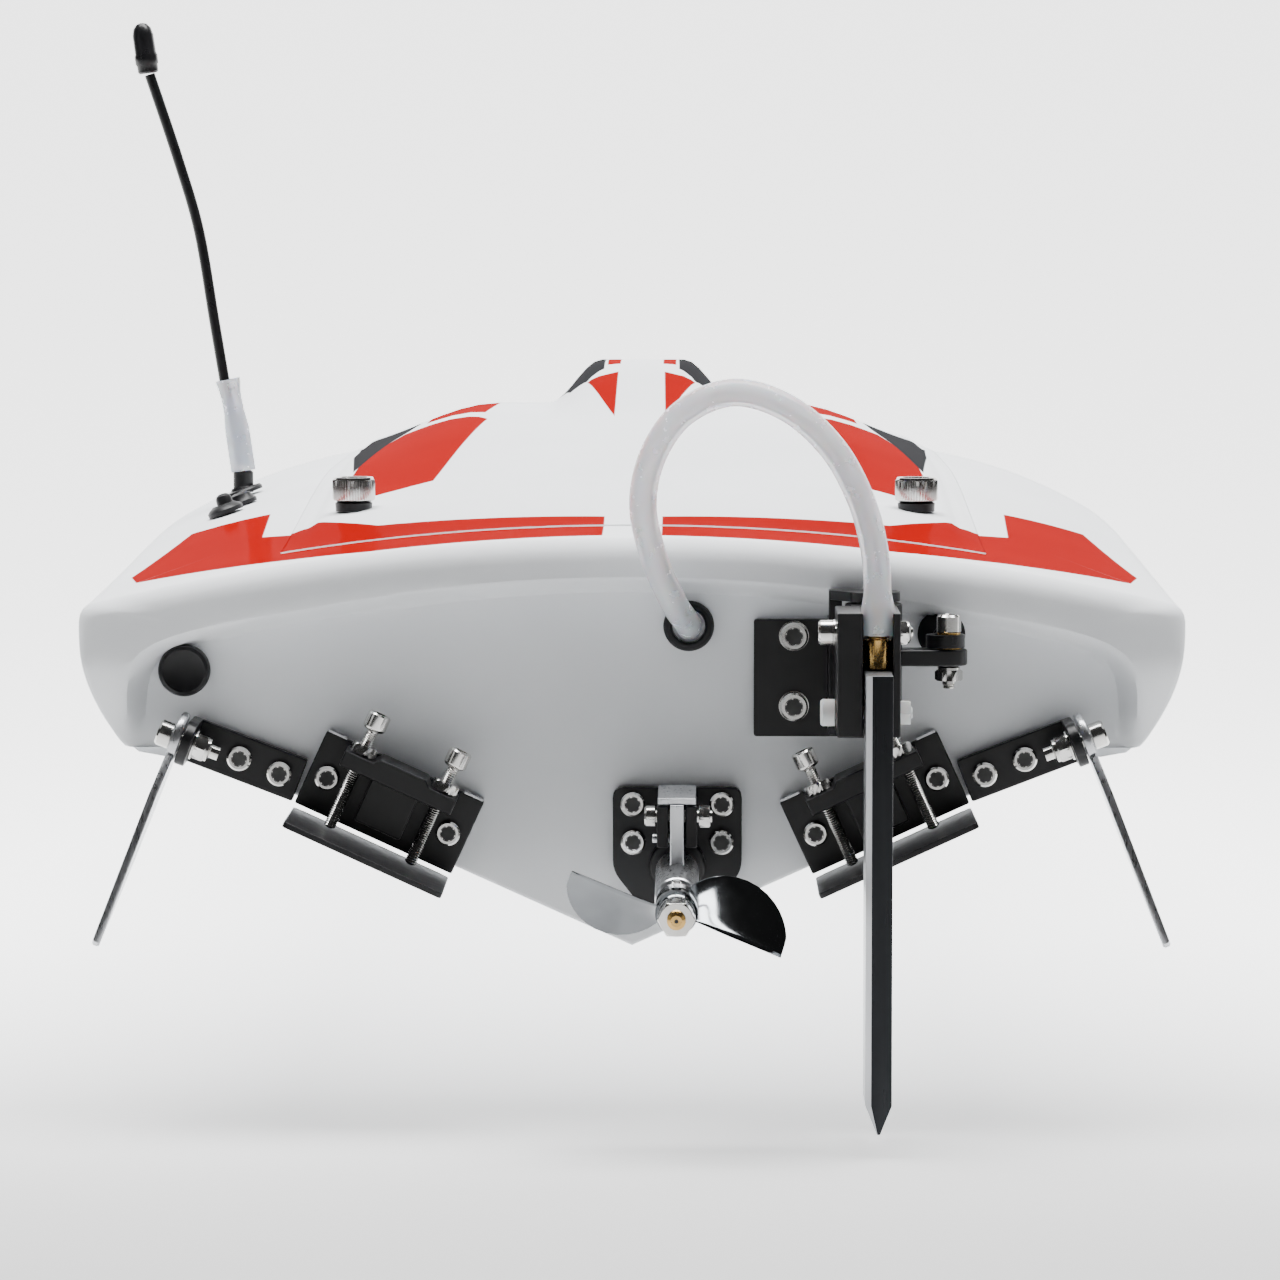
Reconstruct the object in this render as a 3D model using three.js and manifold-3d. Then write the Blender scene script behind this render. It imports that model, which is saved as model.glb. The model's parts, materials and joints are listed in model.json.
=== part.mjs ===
// Radio controlled deep-V racing boat, seen best from its stern.
// Units are millimetres. +X is starboard, +Y is the bow and +Z is up.
// The origin is on the keel line at the foot of the transom.
import * as THREE from 'three';
import { mergeVertices } from 'three/addons/utils/BufferGeometryUtils.js';
import Module from 'manifold-3d';

const wasm = await Module();
wasm.setup();

// ---- driving dimensions -------------------------------------------------
const GAP = 0.3; // clearance between touching pieces
const SEAT = 1; // room for the gasket under the deck and the hatch
const LENGTH = 800; // bow tip, measured from the transom
const HALF_BEAM = 121; // widest half width at the sheer
const OVERHANG = 12; // deck and topsides reach this far aft of the transom
const WALL = 2.5; // thickness of the moulded shells
const DEADRISE = 24.6; // slope of the V bottom, degrees
const CHINE_Z = 44; // height of the chine at the stern
const SHEER_Z = 75; // height of the deck edge at the stern
const HATCH = { aft: 22, front: 500, halfWidth: 79, frontHalfWidth: 52, skin: 1.8 };
const OPENING = { aft: 85, front: 440, halfWidth: 58, corner: 14 };
const SHAFT = { x: 10, z: 18.5, tilt: 4, radius: 2 };
const PROP = { radius: 24, hub: 4.5, aft: -58, fore: -46, lead: 9.5, thick: 0.9 };
const PIN = { x: 52.5, y: -20 }; // vertical axis of the rudder
const BLADE = { thick: 5.6, aft: -62, fore: -36, top: 65.3, bottom: -33 };
const TILLER = { radius: 16.3, z: 64, thick: 3.6 };
const ROD = { x: 68.04, z: 69.3, radius: 1.1 };
const SERVO_Y = 70; // the servo's output axis lies this far ahead of the transom
const TAB = { x: 57.3, z: 23.7, half: 19, height: 18, chord: 30, screw: 9.7 };
const FIN = { x: 85.2, z: 41.5, tilt: 21, half: 14, height: 10, length: 47 };
const ANTENNA = { x: -99.4, y: 170 };
const SWITCH = { x: -100.5, y: 131 };
const DRAIN = { x: -98.5, z: 61.2, radius: 5.7 };
const GROMMET = { x: 12.5, z: 71, radius: 5.6 };
const HOSE = { radius: 3, sides: 8, steps: 48 };
const THUMB = { x: 65, y: 62, radius: 4.9, height: 6.4 };

// ---- materials ----------------------------------------------------------
const paint = (color, roughness, metalness) =>
  new THREE.MeshStandardMaterial({ color, roughness, metalness });
const WHITE = paint(0xeef0f1, 0.18, 0);
const BLACK_METAL = paint(0x101113, 0.35, 0.8);
const ALUMINIUM = paint(0xb9bcc0, 0.32, 1);
const STEEL = paint(0xc9c8c4, 0.2, 1);
const POLISHED = paint(0xd8dadd, 0.08, 1);
const BRASS = paint(0xb98a3c, 0.28, 1);
const RUBBER = paint(0x0c0c0d, 0.75, 0);
const BLACK_PLASTIC = paint(0x141416, 0.45, 0);
const NYLON = paint(0xf2f1ec, 0.4, 0);
const SILICONE = paint(0xdfe6f2, 0.35, 0);
const BLUE_METAL = paint(0x1d4fa8, 0.3, 0.9);
const BATTERY_WRAP = paint(0x2b2d33, 0.5, 0);
const FOAM = paint(0x24262b, 0.9, 0);

// ---- small tools --------------------------------------------------------
const model = new THREE.Group();
const rad = THREE.MathUtils.degToRad;
const clamp01 = (t) => Math.min(1, Math.max(0, t));
const smooth = (a, b, t) => {
  const u = clamp01((t - a) / (b - a));
  return u * u * (3 - 2 * u);
};

function part(name, geometry, material, parent = model) {
  const mesh = new THREE.Mesh(geometry, material);
  mesh.name = name;
  parent.add(mesh);
  return mesh;
}

function frame(x, y, z, tiltX = 0, tiltY = 0, parent = model) {
  const group = new THREE.Group();
  group.position.set(x, y, z);
  group.rotation.set(rad(tiltX), rad(tiltY), 0);
  parent.add(group);
  return group;
}

function toSolid(geometry) {
  const plain = geometry.clone();
  plain.deleteAttribute('normal');
  plain.deleteAttribute('uv');
  const merged = mergeVertices(plain, 1e-4);
  return new wasm.Manifold(new wasm.Mesh({
    numProp: 3,
    vertProperties: new Float32Array(merged.attributes.position.array),
    triVerts: new Uint32Array(merged.index.array),
  }));
}

function toGeometry(solid) {
  const mesh = solid.getMesh();
  const geometry = new THREE.BufferGeometry();
  const points = new THREE.BufferAttribute(new Float32Array(mesh.vertProperties), 3);
  geometry.setAttribute('position', points);
  geometry.setIndex(new THREE.BufferAttribute(new Uint32Array(mesh.triVerts), 1));
  return geometry;
}

const join = (...list) => toGeometry(list.map(toSolid).reduce((a, b) => a.add(b)));
const cut = (body, ...tools) =>
  toGeometry(tools.map(toSolid).reduce((a, b) => a.subtract(b), toSolid(body)));

// A box given by its lowest and highest corners.
function box(x0, x1, y0, y1, z0, z1) {
  const geometry = new THREE.BoxGeometry(x1 - x0, y1 - y0, z1 - z0);
  return geometry.translate((x0 + x1) / 2, (y0 + y1) / 2, (z0 + z1) / 2);
}

// Rods along each axis: centre of the section, then the two ends.
function rodY(x, z, radius, y0, y1, sides = 20) {
  const geometry = new THREE.CylinderGeometry(radius, radius, y1 - y0, sides);
  return geometry.translate(x, (y0 + y1) / 2, z);
}
function rodZ(x, y, radius, z0, z1, sides = 20) {
  const geometry = new THREE.CylinderGeometry(radius, radius, z1 - z0, sides);
  return geometry.rotateX(Math.PI / 2).translate(x, y, (z0 + z1) / 2);
}
function rodX(y, z, radius, x0, x1, sides = 20) {
  const geometry = new THREE.CylinderGeometry(radius, radius, x1 - x0, sides);
  return geometry.rotateZ(Math.PI / 2).translate((x0 + x1) / 2, y, z);
}

// A flat outline in X and Z, given depth along Y.
function slabY(points, y0, y1) {
  const shape = new THREE.Shape(points.map(([x, z]) => new THREE.Vector2(x, z)));
  const geometry = new THREE.ExtrudeGeometry(shape, { depth: y1 - y0, bevelEnabled: false });
  return geometry.rotateX(Math.PI / 2).translate(0, y1, 0);
}
// A flat outline in X and Y, given height along Z.
function slabZ(shape, z0, z1) {
  const geometry = new THREE.ExtrudeGeometry(shape, { depth: z1 - z0, bevelEnabled: false, curveSegments: 4 });
  return geometry.translate(0, 0, z0);
}
// A flat outline in Y and Z, given width along X.
function slabX(points, x0, x1) {
  const shape = new THREE.Shape(points.map(([y, z]) => new THREE.Vector2(y, z)));
  const geometry = new THREE.ExtrudeGeometry(shape, { depth: x1 - x0, bevelEnabled: false });
  return geometry.rotateY(Math.PI / 2).rotateX(Math.PI / 2).translate(x0, 0, 0);
}

function roundedShape(x0, x1, y0, y1, r) {
  const shape = new THREE.Shape();
  shape.moveTo(x0 + r, y0);
  shape.lineTo(x1 - r, y0);
  shape.absarc(x1 - r, y0 + r, r, -Math.PI / 2, 0);
  shape.absarc(x1 - r, y1 - r, r, 0, Math.PI / 2);
  shape.absarc(x0 + r, y1 - r, r, Math.PI / 2, Math.PI);
  shape.absarc(x0 + r, y0 + r, r, Math.PI, 1.5 * Math.PI);
  return shape;
}

// A closed body through rings of points, with flat ends. The rings turn
// anticlockwise when seen from beyond the last ring.
function loft(rings) {
  const n = rings[0].length;
  const positions = rings.flat().flatMap((p) => [p.x, p.y, p.z]);
  const index = [];
  for (let i = 0; i + 1 < rings.length; i += 1) {
    for (let j = 0; j < n; j += 1) {
      const a = i * n + j;
      const b = i * n + ((j + 1) % n);
      index.push(a, b, b + n, a, b + n, a + n);
    }
  }
  const last = (rings.length - 1) * n;
  for (const [ring, start, flip] of [[rings[0], 0, true], [rings.at(-1), last, false]]) {
    const flat = flattened(ring);
    for (const [a, b, c] of THREE.ShapeUtils.triangulateShape(flat, [])) {
      if (flip) index.push(start + a, start + c, start + b);
      else index.push(start + a, start + b, start + c);
    }
  }
  const geometry = new THREE.BufferGeometry();
  geometry.setAttribute('position', new THREE.Float32BufferAttribute(positions, 3));
  geometry.setIndex(index);
  return geometry;
}

// A planar ring in its own plane, turning anticlockwise.
function flattened(ring) {
  const normal = new THREE.Vector3();
  ring.forEach((p, i) => {
    const q = ring[(i + 1) % ring.length];
    normal.x += (p.y - q.y) * (p.z + q.z);
    normal.y += (p.z - q.z) * (p.x + q.x);
    normal.z += (p.x - q.x) * (p.y + q.y);
  });
  normal.normalize();
  const side = Math.abs(normal.z) < 0.9 ? new THREE.Vector3(0, 0, 1) : new THREE.Vector3(1, 0, 0);
  const u = new THREE.Vector3().crossVectors(side, normal).normalize();
  const v = new THREE.Vector3().crossVectors(normal, u);
  return ring.map((p) => new THREE.Vector2(p.dot(u), p.dot(v)));
}

// A tube or rod of round section along a curve.
function alongCurve(points, radius, sides, steps) {
  const section = new THREE.Shape();
  for (let i = 0; i < sides; i += 1) {
    const a = (2 * Math.PI * i) / sides;
    const [x, y] = [radius * Math.cos(a), radius * Math.sin(a)];
    if (i === 0) section.moveTo(x, y);
    else section.lineTo(x, y);
  }
  const path = new THREE.CatmullRomCurve3(points.map((p) => new THREE.Vector3(...p)));
  return new THREE.ExtrudeGeometry(section, { steps, bevelEnabled: false, extrudePath: path });
}

// A turned piece about the Z axis, from [radius, z] pairs.
function turned(profile, sides = 18) {
  const geometry = new THREE.LatheGeometry(profile.map(([r, z]) => new THREE.Vector2(r, z)), sides);
  return geometry.rotateX(Math.PI / 2);
}

// ---- lines of the hull --------------------------------------------------
const BOW_FROM = 200; // the sides are parallel up to here
const sheerZ = (y) => SHEER_Z + 5.6 * smooth(-60, 200, y) + 6 * Math.pow(clamp01(y / LENGTH), 1.8);
const halfBeam = (y) => HALF_BEAM * (1 - Math.pow(clamp01((y - BOW_FROM) / (LENGTH - BOW_FROM)), 2.2));
const keelZ = (y) => 80 * Math.pow(clamp01((y - 520) / (LENGTH - 520)), 2.6);
const chineZ = (y) => CHINE_Z + 39 * Math.pow(clamp01((y - 350) / (LENGTH - 350)), 2);
const crown = (y) => 15.2 + 2.4 * smooth(0, 200, y) - 11 * smooth(260, 560, y) - 3 * smooth(620, 800, y);
const fullness = (y) => 2 + 2 * smooth(0, 200, y);

function deckZ(x, y) {
  const across = clamp01(Math.abs(x) / halfBeam(y));
  return sheerZ(y) + crown(y) * (1 - Math.pow(across, fullness(y)));
}

// The section below the deck: [share of half beam, share of chine to sheer].
const SIDE = [[0.81, 0], [0.925, 0], [0.965, 0.3], [0.992, 0.58], [1, 1]];
const DECK_POINTS = 12; // steps across the deck

function hullRing(y) {
  const b = halfBeam(y);
  const top = sheerZ(y) - WALL - SEAT;
  const side = SIDE.map(([fx, fz]) => [b * fx, chineZ(y) + fz * (top - chineZ(y))]);
  const ring = [[0, keelZ(y)], ...side];
  for (let i = 1; i < DECK_POINTS; i += 1) {
    const x = b * (1 - (2 * i) / DECK_POINTS);
    ring.push([x, deckZ(x, y) - WALL - SEAT]);
  }
  ring.push(...side.toReversed().map(([x, z]) => [-x, z]));
  return ring.map(([x, z]) => new THREE.Vector3(x, y, z)).toReversed();
}

function cavityRing(y) {
  const b = halfBeam(y);
  const lid = sheerZ(y) + 40;
  const side = SIDE.map(([fx, fz]) => [b * fx - WALL, chineZ(y) + WALL + fz * (sheerZ(y) - chineZ(y))]);
  const right = [...side, [b - WALL, lid]];
  const ring = [[0, keelZ(y) + WALL * 1.1], ...right, ...right.toReversed().map(([x, z]) => [-x, z])];
  return ring.map(([x, z]) => new THREE.Vector3(x, y, z)).toReversed();
}

// Outline of the recess in the stern, below the deck's overhang.
const lipZ = (x) => 81.6 - 7.2 * Math.pow(Math.abs(x) / 74, 2);

function recessOutline() {
  const right = [[114, -20], [111, 44], [110.6, 57], [108.6, 62.5], [105, 66.2], [99, 69], [88, 71.6]];
  const top = [];
  for (let i = -3; i <= 3; i += 1) top.push([-i * 24, lipZ(i * 24)]);
  return [...right, ...top, ...right.toReversed().map(([x, z]) => [-x, z])];
}

const STATIONS = [-OVERHANG, 0, 50, 100, 150, 200, 300, 380, 450, 520, 580, 630, 675, 715, 750, 775, 790, 797];

function hullShell() {
  const outer = loft(STATIONS.map(hullRing));
  const inside = [WALL, ...STATIONS.filter((y) => y > WALL && y < 770)];
  const cavity = loft(inside.map(cavityRing));
  const recess = slabY(recessOutline(), -40, 0);
  const rake = slabX([[-40, -20], [0, -20], [0, CHINE_Z - 0.6], [-OVERHANG - 1, 64], [-40, 64]], -150, 150);
  const shaftHole = rodY(0, 0, 3.4, -30, 30).rotateX(rad(SHAFT.tilt)).translate(SHAFT.x, 0, SHAFT.z);
  const holes = [
    rodY(ROD.x, ROD.z, 3.6, -5, 8),
    rodY(GROMMET.x, GROMMET.z, 4.3, -5, 8),
    rodY(DRAIN.x, DRAIN.z, 4.3, -5, 8),
  ];
  return cut(outer, cavity, recess, rake, shaftHole, ...holes);
}

function deckRing(y) {
  const b = halfBeam(y);
  const across = [];
  for (let i = 0; i <= DECK_POINTS; i += 1) across.push(b * (1 - (2 * i) / DECK_POINTS));
  const over = across.map((x) => new THREE.Vector3(x, y, deckZ(x, y)));
  const under = across.toReversed().map((x) => new THREE.Vector3(x, y, deckZ(x, y) - WALL));
  return [...over, ...under].toReversed();
}

function deckShell() {
  const shell = loft(STATIONS.map(deckRing));
  const o = OPENING;
  const opening = slabZ(roundedShape(-o.halfWidth, o.halfWidth, o.aft, o.front, o.corner), 40, 160);
  const screws = [-1, 1].map((s) => rodZ(s * THUMB.x, THUMB.y, 2.2, 60, 130, 12));
  const posts = [
    rodZ(ANTENNA.x, ANTENNA.y, 2, 60, 130, 12),
    rodZ(SWITCH.x, SWITCH.y, 3.4, 60, 130, 12),
  ];
  return cut(shell, opening, ...screws, ...posts);
}

// ---- hatch with its cockpit hump ---------------------------------------
const hatchHalf = (y) => HATCH.halfWidth - (HATCH.halfWidth - HATCH.frontHalfWidth) * smooth(330, 500, y);

function hatchZ(x, y) {
  const share = Math.abs(x) / hatchHalf(y);
  const body = 8.6 * smooth(36, 215, y) * (1 - smooth(250, 440, y)) * (1 - smooth(0.5, 0.97, share));
  const hump = 11.5 * smooth(165, 250, y) * (1 - smooth(260, 400, y)) * (1 - smooth(11, 25, Math.abs(x)));
  return deckZ(x, y) + SEAT + HATCH.skin + body + hump;
}

const HATCH_ACROSS = [1, 0.94, 0.86, 0.77, 0.68, 0.58, 0.48, 0.32, 0.25, 0.19, 0.13];
const HATCH_STATIONS = [22, 50, 80, 110, 150, 180, 215, 235, 255, 280, 310, 340, 375, 410, 440, 500];

function hatchRing(y) {
  const half = HATCH_ACROSS.map((f) => f * hatchHalf(y));
  const across = [...half, 0, ...half.toReversed().map((x) => -x)];
  const over = across.map((x) => new THREE.Vector3(x, y, hatchZ(x, y)));
  const under = across.toReversed().map((x) => {
    const z = Math.max(deckZ(x, y) + SEAT, hatchZ(x, y) - 2);
    return new THREE.Vector3(x, y, z);
  });
  return [...over, ...under].toReversed();
}

function hatchShell() {
  const holes = [-1, 1].map((s) => rodZ(s * THUMB.x, THUMB.y, 2.2, 60, 130, 12));
  return cut(loft(HATCH_STATIONS.map(hatchRing)), ...holes);
}

function thumbScrew() {
  const { radius: r, height: h } = THUMB;
  return turned([
    [0, -9], [1.8, -9], [1.8, 0], [3.4, 0], [3.4, 0.8], [r, 0.8], [r, h], [r - 1, h], [r - 2, h - 0.9], [0, h - 0.9],
  ]);
}

part('hull_shell', hullShell(), WHITE);
part('deck_shell', deckShell(), WHITE);
part('hatch', hatchShell(), WHITE);
for (const [side, s] of [['port', -1], ['starboard', 1]]) {
  const z = hatchZ(THUMB.x, THUMB.y) + 1.3;
  part(`thumb_screw_${side}`, thumbScrew(), STEEL, frame(s * THUMB.x, THUMB.y, z));
}

// ---- deck fittings on the port side ------------------------------------
function antenna() {
  const { x, y } = ANTENNA;
  const deck = deckZ(x, y);
  const base = turned([[0, -7], [1.7, -7], [1.7, 1.2], [5.1, 1.2], [5.1, 2.2], [2.6, 2.8], [2.6, 5], [0, 5]]);
  part('antenna_base', base, RUBBER, frame(x, y, deck + 1.4));
  const foot = deck + 6.9;
  part('antenna_sleeve', alongCurve([[x, y, foot], [x - 1.8, y, foot + 12], [x - 3.8, y, foot + 22.5]], 3.2, 12, 6), SILICONE);
  const rod = [
    [x - 3.9, y, foot + 23], [x - 7, y, foot + 36.9], [x - 10.7, y, foot + 59.4],
    [x - 15.7, y, foot + 77], [x - 22.8, y, foot + 98],
  ];
  part('antenna_rod', alongCurve(rod, 1.4, 8, 16), BLACK_PLASTIC);
  const cap = turned([[0, 0], [2.5, 0], [2.9, 1.2], [2.9, 10.6], [2.3, 12.4], [0, 13.2]], 16);
  part('antenna_cap', cap, RUBBER, frame(x - 23.1, y, foot + 98.8, 0, -8));
}

function powerSwitch() {
  const { x, y } = SWITCH;
  const mount = frame(x, y, deckZ(x, y) + 1.9, 0, -16);
  const boot = turned([[2.4, -0.2], [4.4, -0.2], [4.4, 1.1], [3.4, 1.9], [2.4, 1.9], [2.4, -0.2]], 20);
  part('switch_boot', boot, RUBBER, mount);
  const button = turned([[0, -6], [2, -6], [2, 2.4], [1.5, 3.2], [0, 3.5]], 16);
  part('switch_button', button, RUBBER, mount);
}

antenna();
powerSwitch();

// ---- plugs and grommet in the transom ----------------------------------
function drainPlug() {
  const { radius: r } = DRAIN;
  return turned([[0, -5], [3.9, -5], [3.9, 0.3], [r, 0.3], [r, 3.4], [r - 0.8, 4.2], [0, 4.2]]);
}

part('drain_plug', drainPlug(), RUBBER, frame(DRAIN.x, 0, DRAIN.z, 90));
const ring = turned([[3.6, -2.3], [4, -2.3], [4, 0.3], [5.6, 0.3], [5.6, 1.6], [4.8, 2.4], [3.6, 2.4], [3.6, -2.3]]);
part('hose_grommet', ring, RUBBER, frame(GROMMET.x, 0, GROMMET.z, 90));

// Height of the inner face of the V bottom, where a bed stands on it.
const floorZ = (x) => 3.2 + 0.459 * Math.abs(x);

// A block from a level top down to the V bottom.
function bed(x0, x1, y0, y1, top, lift = 0) {
  const xs = x0 < 0 && x1 > 0 ? [x0, 0, x1] : [x0, x1];
  const under = xs.map((x) => [x, floorZ(x) + lift]);
  return slabY([...under, [x1, top], [x0, top]], y0, y1);
}

// ---- rudder -------------------------------------------------------------
const LUG = { low: 48.6, high: 77.9, thick: 2.2, front: -12.5 };

const BOLTS = { y: -39.3, pivot: 72.6, shear: 55.5 }; // cross bolts through fork and blade

function rudderBracket() {
  const flange = box(26.8, 45.8, -2.8, -GAP, 46.8, 72.6);
  const web = box(42.9, 45.8, -17, -GAP, LUG.low, 73.6);
  const arm = box(42.9, 45.8, -17, LUG.front, 73, LUG.high + LUG.thick);
  const lug = (z) => {
    const shape = new THREE.Shape();
    shape.moveTo(42.9, LUG.front);
    shape.lineTo(42.9, -17);
    shape.lineTo(PIN.x - 5, PIN.y - 3);
    shape.absarc(PIN.x, PIN.y, 5.8, rad(211), rad(392));
    shape.lineTo(52, LUG.front);
    return slabZ(shape, z, z + LUG.thick);
  };
  const hole = rodZ(PIN.x, PIN.y, 1.8, 40, 90, 16);
  return cut(join(flange, web, arm, lug(LUG.low), lug(LUG.high)), hole);
}

// The block turns on the pin and holds the blade in its fork.
function steeringBlock() {
  const [low, high] = [LUG.low + LUG.thick + GAP, LUG.high - GAP];
  const barrel = rodZ(PIN.x, PIN.y, 6.2, low, high, 28);
  const neck = box(PIN.x - 5, PIN.x + 4.6, -28, -23, low, high);
  const fork = box(43.8, 57.3, -50, -27, low, high);
  const slot = box(PIN.x - BLADE.thick / 2 - GAP, PIN.x + BLADE.thick / 2 + GAP, -51, -35.7, 40, 90);
  const bolts = [[BOLTS.y, BOLTS.pivot], [BOLTS.y, BOLTS.shear]].map(([y, z]) => rodX(y, z, 1.8, 40, 60, 14));
  return cut(join(barrel, neck, fork), slot, rodZ(PIN.x, PIN.y, 1.8, 40, 90, 16), ...bolts);
}

function rudderBlade() {
  const { thick, aft, fore, top, bottom } = BLADE;
  const half = thick / 2;
  const section = (z) => [
    [half, aft], [half, fore - 9], [0.6, fore], [-0.6, fore], [-half, fore - 9], [-half, aft],
  ].map(([x, y]) => new THREE.Vector3(PIN.x + x, y, z));
  const foot = section(bottom).map((p) => {
    const t = Math.abs(p.x - PIN.x) / half;
    return new THREE.Vector3(p.x, p.y, bottom + 6 * t);
  });
  const ear = box(PIN.x - half, PIN.x + half, -42.6, fore, top - 12, 76.8);
  const holes = [BOLTS.pivot, BOLTS.shear].map((z) => rodX(BOLTS.y, z, 1.8, 40, 60, 14));
  return cut(join(loft([foot, section(top)]), ear), ...holes);
}

// A cross bolt with a round head to port and a nut to starboard.
function crossBolt(y, z, x0, x1, radius, head, length) {
  const shank = rodX(y, z, radius, x0, x1, 14);
  const cap = rodX(y, z, head, x0 - length, x0, 18);
  const nut = rodX(y, z, head, x1 - 2.4, x1 - 0.01, 6);
  return join(shank, cap, nut);
}

function tillerArm() {
  const end = PIN.x + TILLER.radius;
  const shape = new THREE.Shape();
  shape.moveTo(PIN.x + 6.6, PIN.y - 4);
  shape.lineTo(end, PIN.y - 4);
  shape.absarc(end, PIN.y, 4, -Math.PI / 2, Math.PI / 2);
  shape.lineTo(PIN.x + 6.6, PIN.y + 4);
  const plate = slabZ(shape, TILLER.z, TILLER.z + TILLER.thick);
  return cut(plate, rodZ(end, PIN.y, 1.8, 50, 90, 14));
}

function ballBolt() {
  const top = TILLER.z + TILLER.thick + 3.7;
  return turned([
    [0, 59], [1.5, 59], [1.5, 60.6], [2.8, 60.6], [2.8, 63.7], [1.5, 63.7], [1.5, top],
    [2.7, top], [2.7, top + 3.8], [0, top + 3.8],
  ], 18);
}

// The rod has an eye at both ends, with room for the stud's small arc.
function pushrod() {
  const [z0, z1] = [ROD.z - 1.4, ROD.z + 1.4];
  const eye = (y) => rodZ(ROD.x, y, 4.2, z0, z1, 24);
  const hole = (y) => rodZ(ROD.x, y, 2.55, z0 - 1, z1 + 1, 20);
  const rod = rodY(ROD.x, ROD.z, ROD.radius, PIN.y + 3.4, SERVO_Y - 3.4, 12);
  return cut(join(eye(PIN.y), eye(SERVO_Y), rod), hole(PIN.y), hole(SERVO_Y));
}

// Rubber bellows between the transom and the rod.
function pushrodBoot() {
  const profile = [[1.5, 0.3], [5.3, 0.3], [5.3, 1.6]];
  for (let i = 0; i < 3; i += 1) profile.push([3.6 - 0.4 * i, 2.4 + 1.9 * i], [4.7 - 0.5 * i, 3.3 + 1.9 * i]);
  profile.push([2.3, 8.2], [2.3, 10.4], [1.5, 10.4], [1.5, 0.3]);
  return turned(profile, 14);
}

const HOSE_END = [PIN.x, -46, 72.2];
const HOSE_ROUTE = [
  HOSE_END, [PIN.x, -46, 80], [PIN.x - 0.6, -46, 90], [PIN.x - 3.5, -45.6, 101], [PIN.x - 9.5, -45, 112],
  [PIN.x - 19, -44, 120.5], [PIN.x - 30.5, -42.5, 123.8], [PIN.x - 41, -40, 119.5], [PIN.x - 47.5, -36.5, 110.5],
  [PIN.x - 49.8, -31.5, 99.5], [PIN.x - 47.6, -25, 88], [PIN.x - 43.4, -16.5, 77.5], [GROMMET.x - 0.6, -7.5, GROMMET.z + 1.6],
  [GROMMET.x, -1, GROMMET.z], [GROMMET.x, 8, GROMMET.z - 0.2], [GROMMET.x, 40, 66], [14, 90, 62], [18, 150, 60], [20, 210, 61], [17, 250, 62.8], [11, 270, 64.5],
];

function rudderGroup() {
  part('rudder_bracket', rudderBracket(), BLACK_METAL);
  part('rudder_pin', rodZ(PIN.x, PIN.y, 1.5, LUG.low - 1.5, LUG.high + LUG.thick + 1.5, 16), STEEL);
  part('steering_block', steeringBlock(), BLACK_METAL);
  part('rudder_blade', rudderBlade(), ALUMINIUM);
  part('rudder_pivot_bolt', crossBolt(BOLTS.y, BOLTS.pivot, 43.4, 60.2, 1.5, 2.7, 3), STEEL);
  part('rudder_shear_bolt', crossBolt(BOLTS.y, BOLTS.shear, 43.4, 60.2, 1.5, 2.8, 3), NYLON);
  const nipple = turned([[0, 65.6], [2.9, 65.6], [2.9, 71.8], [0, 71.8]], 6).translate(PIN.x, -46, 0);
  part('water_nipple', nipple, BRASS);
  part('water_hose', alongCurve(HOSE_ROUTE, HOSE.radius, HOSE.sides, HOSE.steps), SILICONE);
  part('tiller_arm', tillerArm(), BLACK_METAL);
  part('tiller_ball_bolt', ballBolt().translate(PIN.x + TILLER.radius, PIN.y, 0), STEEL);
  part('pushrod', pushrod(), STEEL);
  part('pushrod_boot', pushrodBoot(), RUBBER, frame(ROD.x, 0, ROD.z, 90));
}

function steeringServo() {
  const body = bed(42.5, 62.5, SERVO_Y - 30, SERVO_Y + 12, 58);
  const ears = box(44.5, 60.5, SERVO_Y - 36, SERVO_Y + 18, 50, 52.4);
  part('steering_servo', join(body, ears, rodZ(PIN.x, SERVO_Y, 5, 57, 61)), BLACK_PLASTIC);
  const end = PIN.x + TILLER.radius;
  const arm = box(PIN.x - 3, end + 2.5, SERVO_Y - 3, SERVO_Y + 3, 61.6, 64.4);
  const hub = rodZ(PIN.x, SERVO_Y, 4, 61.3, 66.4);
  const stud = rodZ(end, SERVO_Y, 1.5, 63, 71.5, 14);
  part('servo_arm', join(arm, hub, stud), BLACK_PLASTIC);
}

rudderGroup();
steeringServo();

// ---- drive line, on its own tilted axis --------------------------------
const drive = frame(SHAFT.x, 0, SHAFT.z, SHAFT.tilt);

function strutBracket() {
  const x = SHAFT.x;
  const plate = slabY([
    [x - 14.2, 17], [x - 8.5, 9.6], [x + 8.5, 9.6], [x + 14.2, 17], [x + 14.2, 34], [x + 12.6, 35.6], [x - 12.6, 35.6], [x - 14.2, 34],
  ], -3, -GAP);
  const cheeks = [-4.4, 1.8].map((a) => box(x + a, x + a + 2.6, -24, -2, 24.5, 33.7));
  const bore = rodY(0, 0, 3.4, -8, 8).rotateX(rad(SHAFT.tilt)).translate(x, 0, SHAFT.z);
  return cut(join(plate, ...cheeks), bore, rodX(-16, 30.6, 1.7, x - 10, x + 10, 14));
}

function driveStrut() {
  const barrel = rodY(0, 0, 4.75, -42, -10, 28);
  const blade = box(-1.5, 1.5, -26, -9, 3.5, 17.6);
  const cap = box(-4.2, 4.2, -25, -8, 17.5, 18.9);
  const bolt = rodX(-15.12, 13.2, 1.7, -5, 5, 14);
  return cut(join(barrel, blade, cap), rodY(0, 0, 2.4, -60, 0), bolt);
}

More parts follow.
